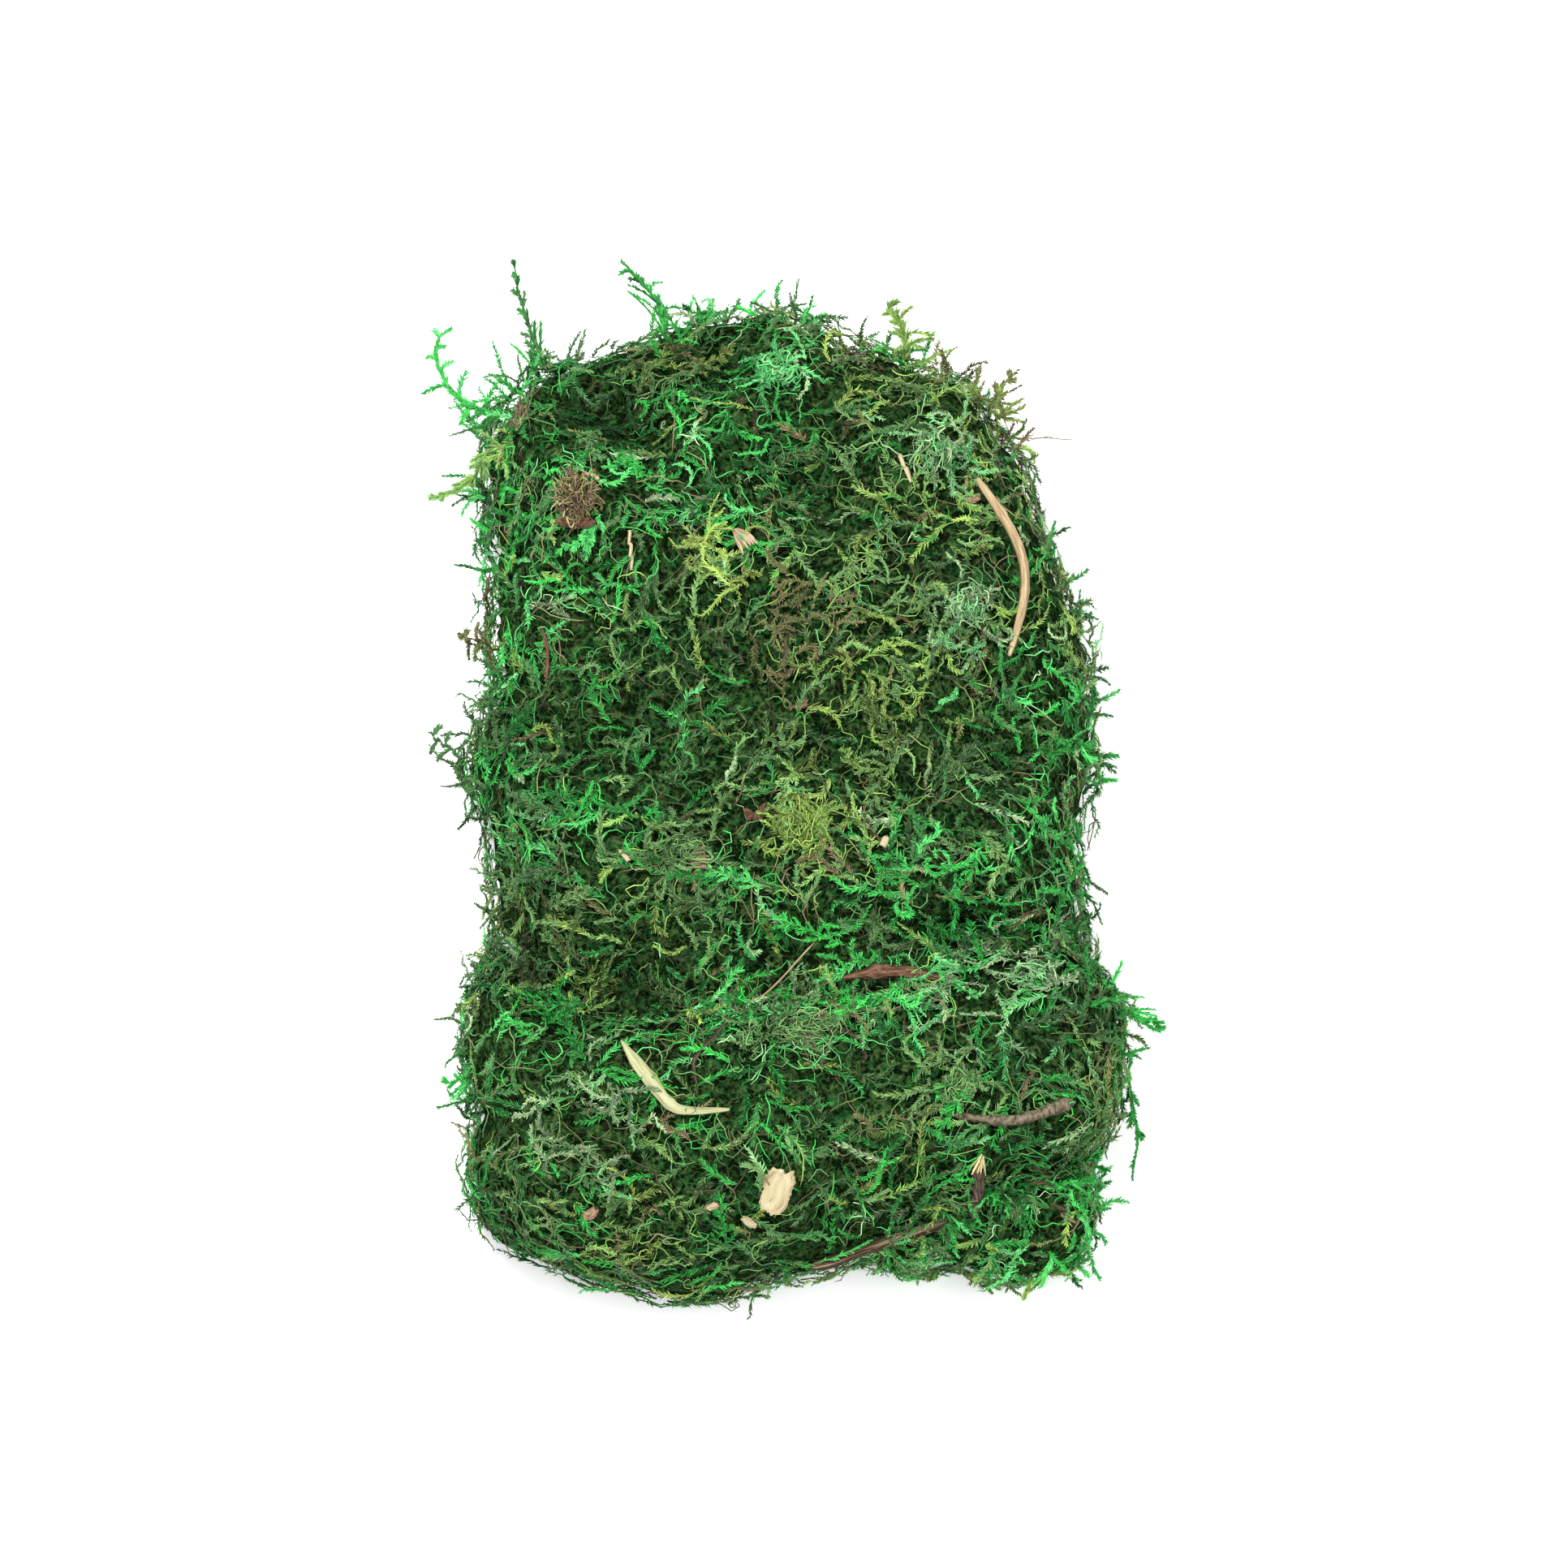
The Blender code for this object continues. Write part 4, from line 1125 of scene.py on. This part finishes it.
debris = {
    # slot, bark, rings and sides, ridges and their depth, roughness, and swellings (place, width, height)
    "straw_stem": ("pale_straw", "straw", 70, 18, 5, 0.14, 0.06, [(0.22, 0.02, 0.2), (0.66, 0.015, 0.15)]),
    "short_straw": ("pale_straw", "cream", 20, 10, 4, 0.15, 0.05, []),
    "pale_thread": ("pale_straw", "straw", 40, 6, 0, 0, 0.1, []),
    "grass_blade": ("cream_wood", "blade", 60, 18, 4, 0.1, 0.05, [(0.6, 0.03, 0.25)]),
    "flat_straw": ("cream_wood", "cream", 20, 10, 3, 0.1, 0.05, []),
    "cream_stick": ("cream_wood", "cream", 16, 10, 3, 0.1, 0.1, []),
    "knobbly_twig": ("grey_twig", "twig", 110, 22, 3, 0.08, 0.1, [
        (0.08, 0.01, 0.15), (0.2, 0.008, 0.12), (0.36, 0.012, 0.2), (0.44, 0.008, 0.14), (0.55, 0.01, 0.18),
        (0.63, 0.01, 0.15), (0.74, 0.015, 0.22), (0.82, 0.008, 0.12), (0.95, 0.02, 0.25)]),
    "bark_sliver": ("grey_twig", "split", 30, 12, 5, 0.2, 0.15, []),
    "rootlet": ("grey_twig", "bud", 50, 8, 0, 0, 0.15, [(0.3, 0.03, 0.4), (0.7, 0.03, 0.3)]),
    "split_stick": ("dark_bark", "split", 90, 28, 9, 0.28, 0.14, [(0.9, 0.04, 0.12)]),
    "leaf_bud": ("dark_bark", "bud", 40, 20, 7, 0.2, 0.14, []),
    "bark_strip": ("red_bark", "red", 70, 18, 6, 0.3, 0.22, [(0.3, 0.06, 0.3), (0.7, 0.05, 0.25)]),
    "red_stem": ("red_bark", "red", 40, 10, 3, 0.1, 0.15, [(0.4, 0.03, 0.3), (0.8, 0.03, 0.2)]),
    "dark_flake": ("red_bark", "red", 20, 14, 4, 0.2, 0.2, []),
}


def barMesh(line, up, across, high, sides, swell):
    # A closed tube of ovals round a middle line. swell scales the half widths, for each ring and side.
    rings = len(line)
    _, up, side = (v[0] for v in frames(line[None], up[None]))
    turn = 2 * np.pi * np.arange(sides) / sides - np.pi / 2  # the map's seam is underneath
    point = line[:, None] + (side[:, None] * (across[:, None] * np.cos(turn))[..., None]
                             + up[:, None] * (high[:, None] * np.sin(turn))[..., None]) * swell[..., None]
    corners = np.concatenate([point.reshape(-1, 3), line[[0, -1]]])
    k = np.arange(sides)
    first = np.arange(rings - 1)[:, None] * sides
    a, b = first + k, first + (k + 1) % sides
    # The map runs round and along the tube, and each end's fan takes the narrow strip beyond it
    u, v = np.broadcast_arrays(k / sides, 0.03 + 0.94 * np.arange(rings - 1)[:, None] / (rings - 1))
    wide, tall = 1 / sides, 0.94 / (rings - 1)
    quads = np.stack([a, a + sides, b + sides, b], -1).reshape(-1, 4)
    cornerMaps = [(u, v), (u, v + tall), (u + wide, v + tall), (u + wide, v)]
    quadMaps = np.stack([np.stack(place, -1) for place in cornerMaps], -2).reshape(-1, 4, 2)
    last = (rings - 1) * sides
    centre = np.full(sides, len(corners) - 2)
    ends = [np.stack([centre, k, (k + 1) % sides], 1),
            np.stack([centre + 1, last + (k + 1) % sides, last + k], 1)]
    u, start, finish = k / sides, np.full(sides, 0.03), np.full(sides, 0.97)
    endMaps = [np.stack([u + wide / 2, start * 0, u, start, u + wide, start], 1).reshape(-1, 3, 2),
               np.stack([u + wide / 2, finish * 0 + 1, u + wide, finish, u, finish], 1).reshape(-1, 3, 2)]
    triangles = np.concatenate([*halves(quads), *ends])
    places = np.concatenate([*halves(quadMaps), *endMaps]).reshape(-1, 2)
    return corners, triangles, places


def barkSwell(rings, sides, ridges, ridge, rough, knots, seed):
    # How the surface stands out: lengthwise ridges, lumps all over, and swellings at some places
    v = np.linspace(0, 1, rings)[:, None]
    turn = 2 * np.pi * np.arange(sides) / sides
    place = np.stack(np.broadcast_arrays(np.cos(turn), np.sin(turn), v * rings / 9), -1)
    swell = np.ones((rings, sides))
    if ridges:
        swell = 1 + ridge * (np.abs(np.sin(turn * ridges / 2 + 2 * v)) - 0.5)
    swell = swell + rough * (cloud(place, 0.6, seed) + 0.5 * cloud(place, 0.25, seed + 1))
    for at, width, height in knots:
        swell = swell + height * np.exp(-((v - at) / width) ** 2)
    return swell


def makeDebris(name, seed, materials):
    # A ridged tube along the node's middle line, as wide and thick as the node, with blunt ends
    slot, bark, rings, sides, ridges, ridge, rough, knots = debris[name]
    fine = (13, 0.045) if bark in ("blade", "bud") else (9, 0.07)
    line, up, across, high = (smoothPath(v, rings) for v in measure(name, *fine))
    if bark == "straw":
        across = 0.55 * across + 0.33 * np.median(across)
    if bark == "twig":
        across, high = 0.82 * across, 0.82 * high
    ends = np.clip(np.sin(np.pi * np.linspace(0.03, 0.97, rings)) * 4, 0, 1) ** 0.5
    swell = barkSwell(rings, sides, ridges, ridge, rough, knots, seed) * ends[:, None]
    corners, triangles, places = barMesh(line, up, across, high, sides, swell)
    piece = makeMesh(name + "_detail", corners, turnOutwards(corners, triangles), places, True)
    finishPiece(piece, materials[bark], [name])


plates = {
    # slot, bark, squareness of the outline, its raggedness, turns and levels
    "wood_chip": ("cream_wood", "cream", 4.0, 0.17, 110, 25),
    "pale_chip": ("cream_wood", "cream", 3.0, 0.2, 30, 9),
    "cream_chip": ("cream_wood", "cream", 3.0, 0.2, 36, 9),
    "left_chip": ("cream_wood", "cream", 3.0, 0.2, 30, 9),
    "pink_chip": ("seed_husk", "pink", 2.5, 0.25, 36, 9),
    "low_chip": ("seed_husk", "husk", 2.5, 0.25, 36, 9),
    "brown_chip": ("seed_husk", "pink", 2.5, 0.25, 36, 9),
}


def makePlate(name, seed, materials):
    # A flat torn chip. One parameter runs round its squarish, notched outline, and the other from the
    # middle of one face, over the rim, to the middle of the other. The faces are streaked along the grain.
    slot, bark, power, ragged, turns, levels = plates[name]
    corners = np.unique(np.round(nodeTriangles(name).reshape(-1, 3), 7), axis=0)
    axes = np.linalg.svd(corners - corners.mean(0), full_matrices=False)[2]
    ends = np.stack([(corners @ axes.T).min(0), (corners @ axes.T).max(0)])
    middle, reach = ends.mean(0) @ axes, (ends[1] - ends[0]) / 2
    s, f = np.meshgrid(2 * np.pi * np.arange(turns) / turns, np.pi * (np.arange(levels) + 0.5) / levels)
    ring = np.stack([np.cos(s), np.sin(s), 0 * s], -1)
    edge = (abs(np.cos(s)) ** power + abs(np.sin(s)) ** power) ** (-1 / power)
    edge = edge * (1 + ragged * (cloud(ring, 0.45, seed) + 0.7 * cloud(ring, 0.12, seed + 1)))
    edge = edge / edge.mean()
    flat = ring * (edge * np.sin(f) ** 0.35)[..., None]
    rise = np.sign(np.cos(f)) * abs(np.cos(f)) ** 0.4
    relief = 0.25 * cloud(flat * (0.6, 4, 1), 0.5, seed + 2) + 0.15 * cloud(flat, 0.3, seed + 3)
    flat[..., 2] = rise + relief
    point = middle + (flat * reach) @ axes
    inner = 1 - abs(f / np.pi * 2 - 1)
    place = 0.5 + 0.48 * (ring * (edge * inner)[..., None])[..., [1, 0]]
    places = np.concatenate([place.reshape(-1, 2), [[0.5, 0.5], [0.5, 0.5]]])
    corners, triangles = closedGrid(point)
    piece = makeMesh(name + "_detail", corners, turnOutwards(corners, triangles), places, True)
    finishPiece(piece, materials[bark], [name])


flakes = {
    # node, slot, bark, number, fan in degrees, spacing, length, half width and thickness, arch in mm, start
    "seed_husk": ("seed_husk", "seed_husk", "husk", 7, 30, 0.12, 6.6, 0.42, 0.28, 0.3, 0),
    "bark_chip": ("bark_chip", "red_bark", "red", 8, 250, 0.15, 2.4, 0.5, 0.3, 0.3, 4),
    "curled_scale": ("curled_scale", "red_bark", "pink", 5, 14, 0.55, 4.6, 0.4, 0.3, 0.7, 0),
    "knot_scales": ("brown_moss_knot", "brown_moss", "red", 6, 110, 0.5, 3.4, 0.6, 0.35, 0.9, 1),
}


def makeFlakes(name, seed, materials):
    # Slim pointed scales that fan out from one place on the node's middle line
    node, slot, bark, count, fan, space, long, wide, thick, arch, start = flakes[name]
    rng = np.random.default_rng(seed)
    line, up = measure(node)[:2]
    ahead, up, side = (v[0, 4] for v in frames(line[None], up[None]))
    parts = []
    t = np.linspace(0, 1, 16)[:, None]
    for share in np.linspace(-0.5, 0.5, count):
        turn = math.radians(fan * share + rng.normal(0, 4))
        way = ahead * math.cos(turn) + side * math.sin(turn)
        reach = long * mm * rng.uniform(0.7, 1.0)
        path = line[start] + side * share * count * space * mm + way * reach * t
        path = path + up * (arch * np.sin(np.pi * t) + rng.uniform(-0.2, 0.4)) * mm
        leaf = np.sin(np.pi * np.linspace(0.06, 0.97, 16)) ** 0.7 * mm
        swell = barkSwell(16, 12, 3, 0.2, 0.12, [], seed)
        flat = np.tile(up, (16, 1))
        corners, triangles, places = barMesh(path, flat, leaf * wide, leaf * thick, 12, swell)
        parts.append((corners, turnOutwards(corners, triangles), places, True))
    finishPiece(joined(name + "_scales", parts), materials[bark], [name] if name == node else None)


def makeBudHairs(material):
    # The pale hairs at the open end of the leaf bud: they leave its end side by side and meet in a point
    rng = np.random.default_rng(97)
    line, up = measure("leaf_bud")[:2]
    if line[0][1] > line[-1][1]:
        line, up = line[::-1], up[::-1]
    end, ahead = line[-1], unit(line[-1] - line[-3])
    side = np.cross(ahead, up[-1])
    count = 26
    off = rng.normal(0, 1, (count, 1, 2)) * mm
    t = np.linspace(0, 1, 6)[:, None]
    spread = off[..., :1] * side * (1 - 0.85 * t) + off[..., 1:] * up[-1] * 0.5 * (1.2 - t)
    along = -2.2 + 5.0 * t * rng.uniform(0.6, 1, (count, 1, 1))
    points = end + ahead * along * mm + spread + up[-1] * 0.9 * mm
    tones = np.full(count, 0.015), rng.normal(0.56, 0.14, count)
    look = dict(looks["hair"], stem=0.11)
    parts = shootMesh(points, np.tile(up[0], (count, 6, 1)), look, *tones, rng)
    finishPiece(joined("leaf_bud_hairs", parts), material, None)


placeCamera()
lightStudio()
layFloor()
print("studio ready", flush=True)
field = buildDepth()
print("depth field ready", flush=True)
effects = {"mossChart": mossChart(), "curlyLines": curlyLines(), "barkStreaksAndShade": barkStreaksAndShade()}
leafGreen = leafMaterial("moss leaves", 0.65, 0.15)
matPaintedDark = paintedDarkMatMaterial()
for wad in wads:
    makeMat(wad, matPaintedDark)
for layerName, layerValues in layers.items():
    growLayer(layerName, layerValues, leafGreen)
growFronds(leafGreen)
growPatches(leafGreen)
growSprays(leafGreen)
growFelts(leafGreen)
growKnot(leafGreen)
for k, strayName in enumerate(strays):
    growStray(strayName, 40 + k, leafGreen)
barkMaterials = {name: barkMaterial(name) for name in barks}
for k, debrisName in enumerate(debris):
    makeDebris(debrisName, 60 + 2 * k, barkMaterials)
for k, plateName in enumerate(plates):
    makePlate(plateName, 160 + 5 * k, barkMaterials)
for k, flakeName in enumerate(flakes):
    makeFlakes(flakeName, 130 + k, barkMaterials)
makeBudHairs(leafGreen)
print("debris ready", flush=True)
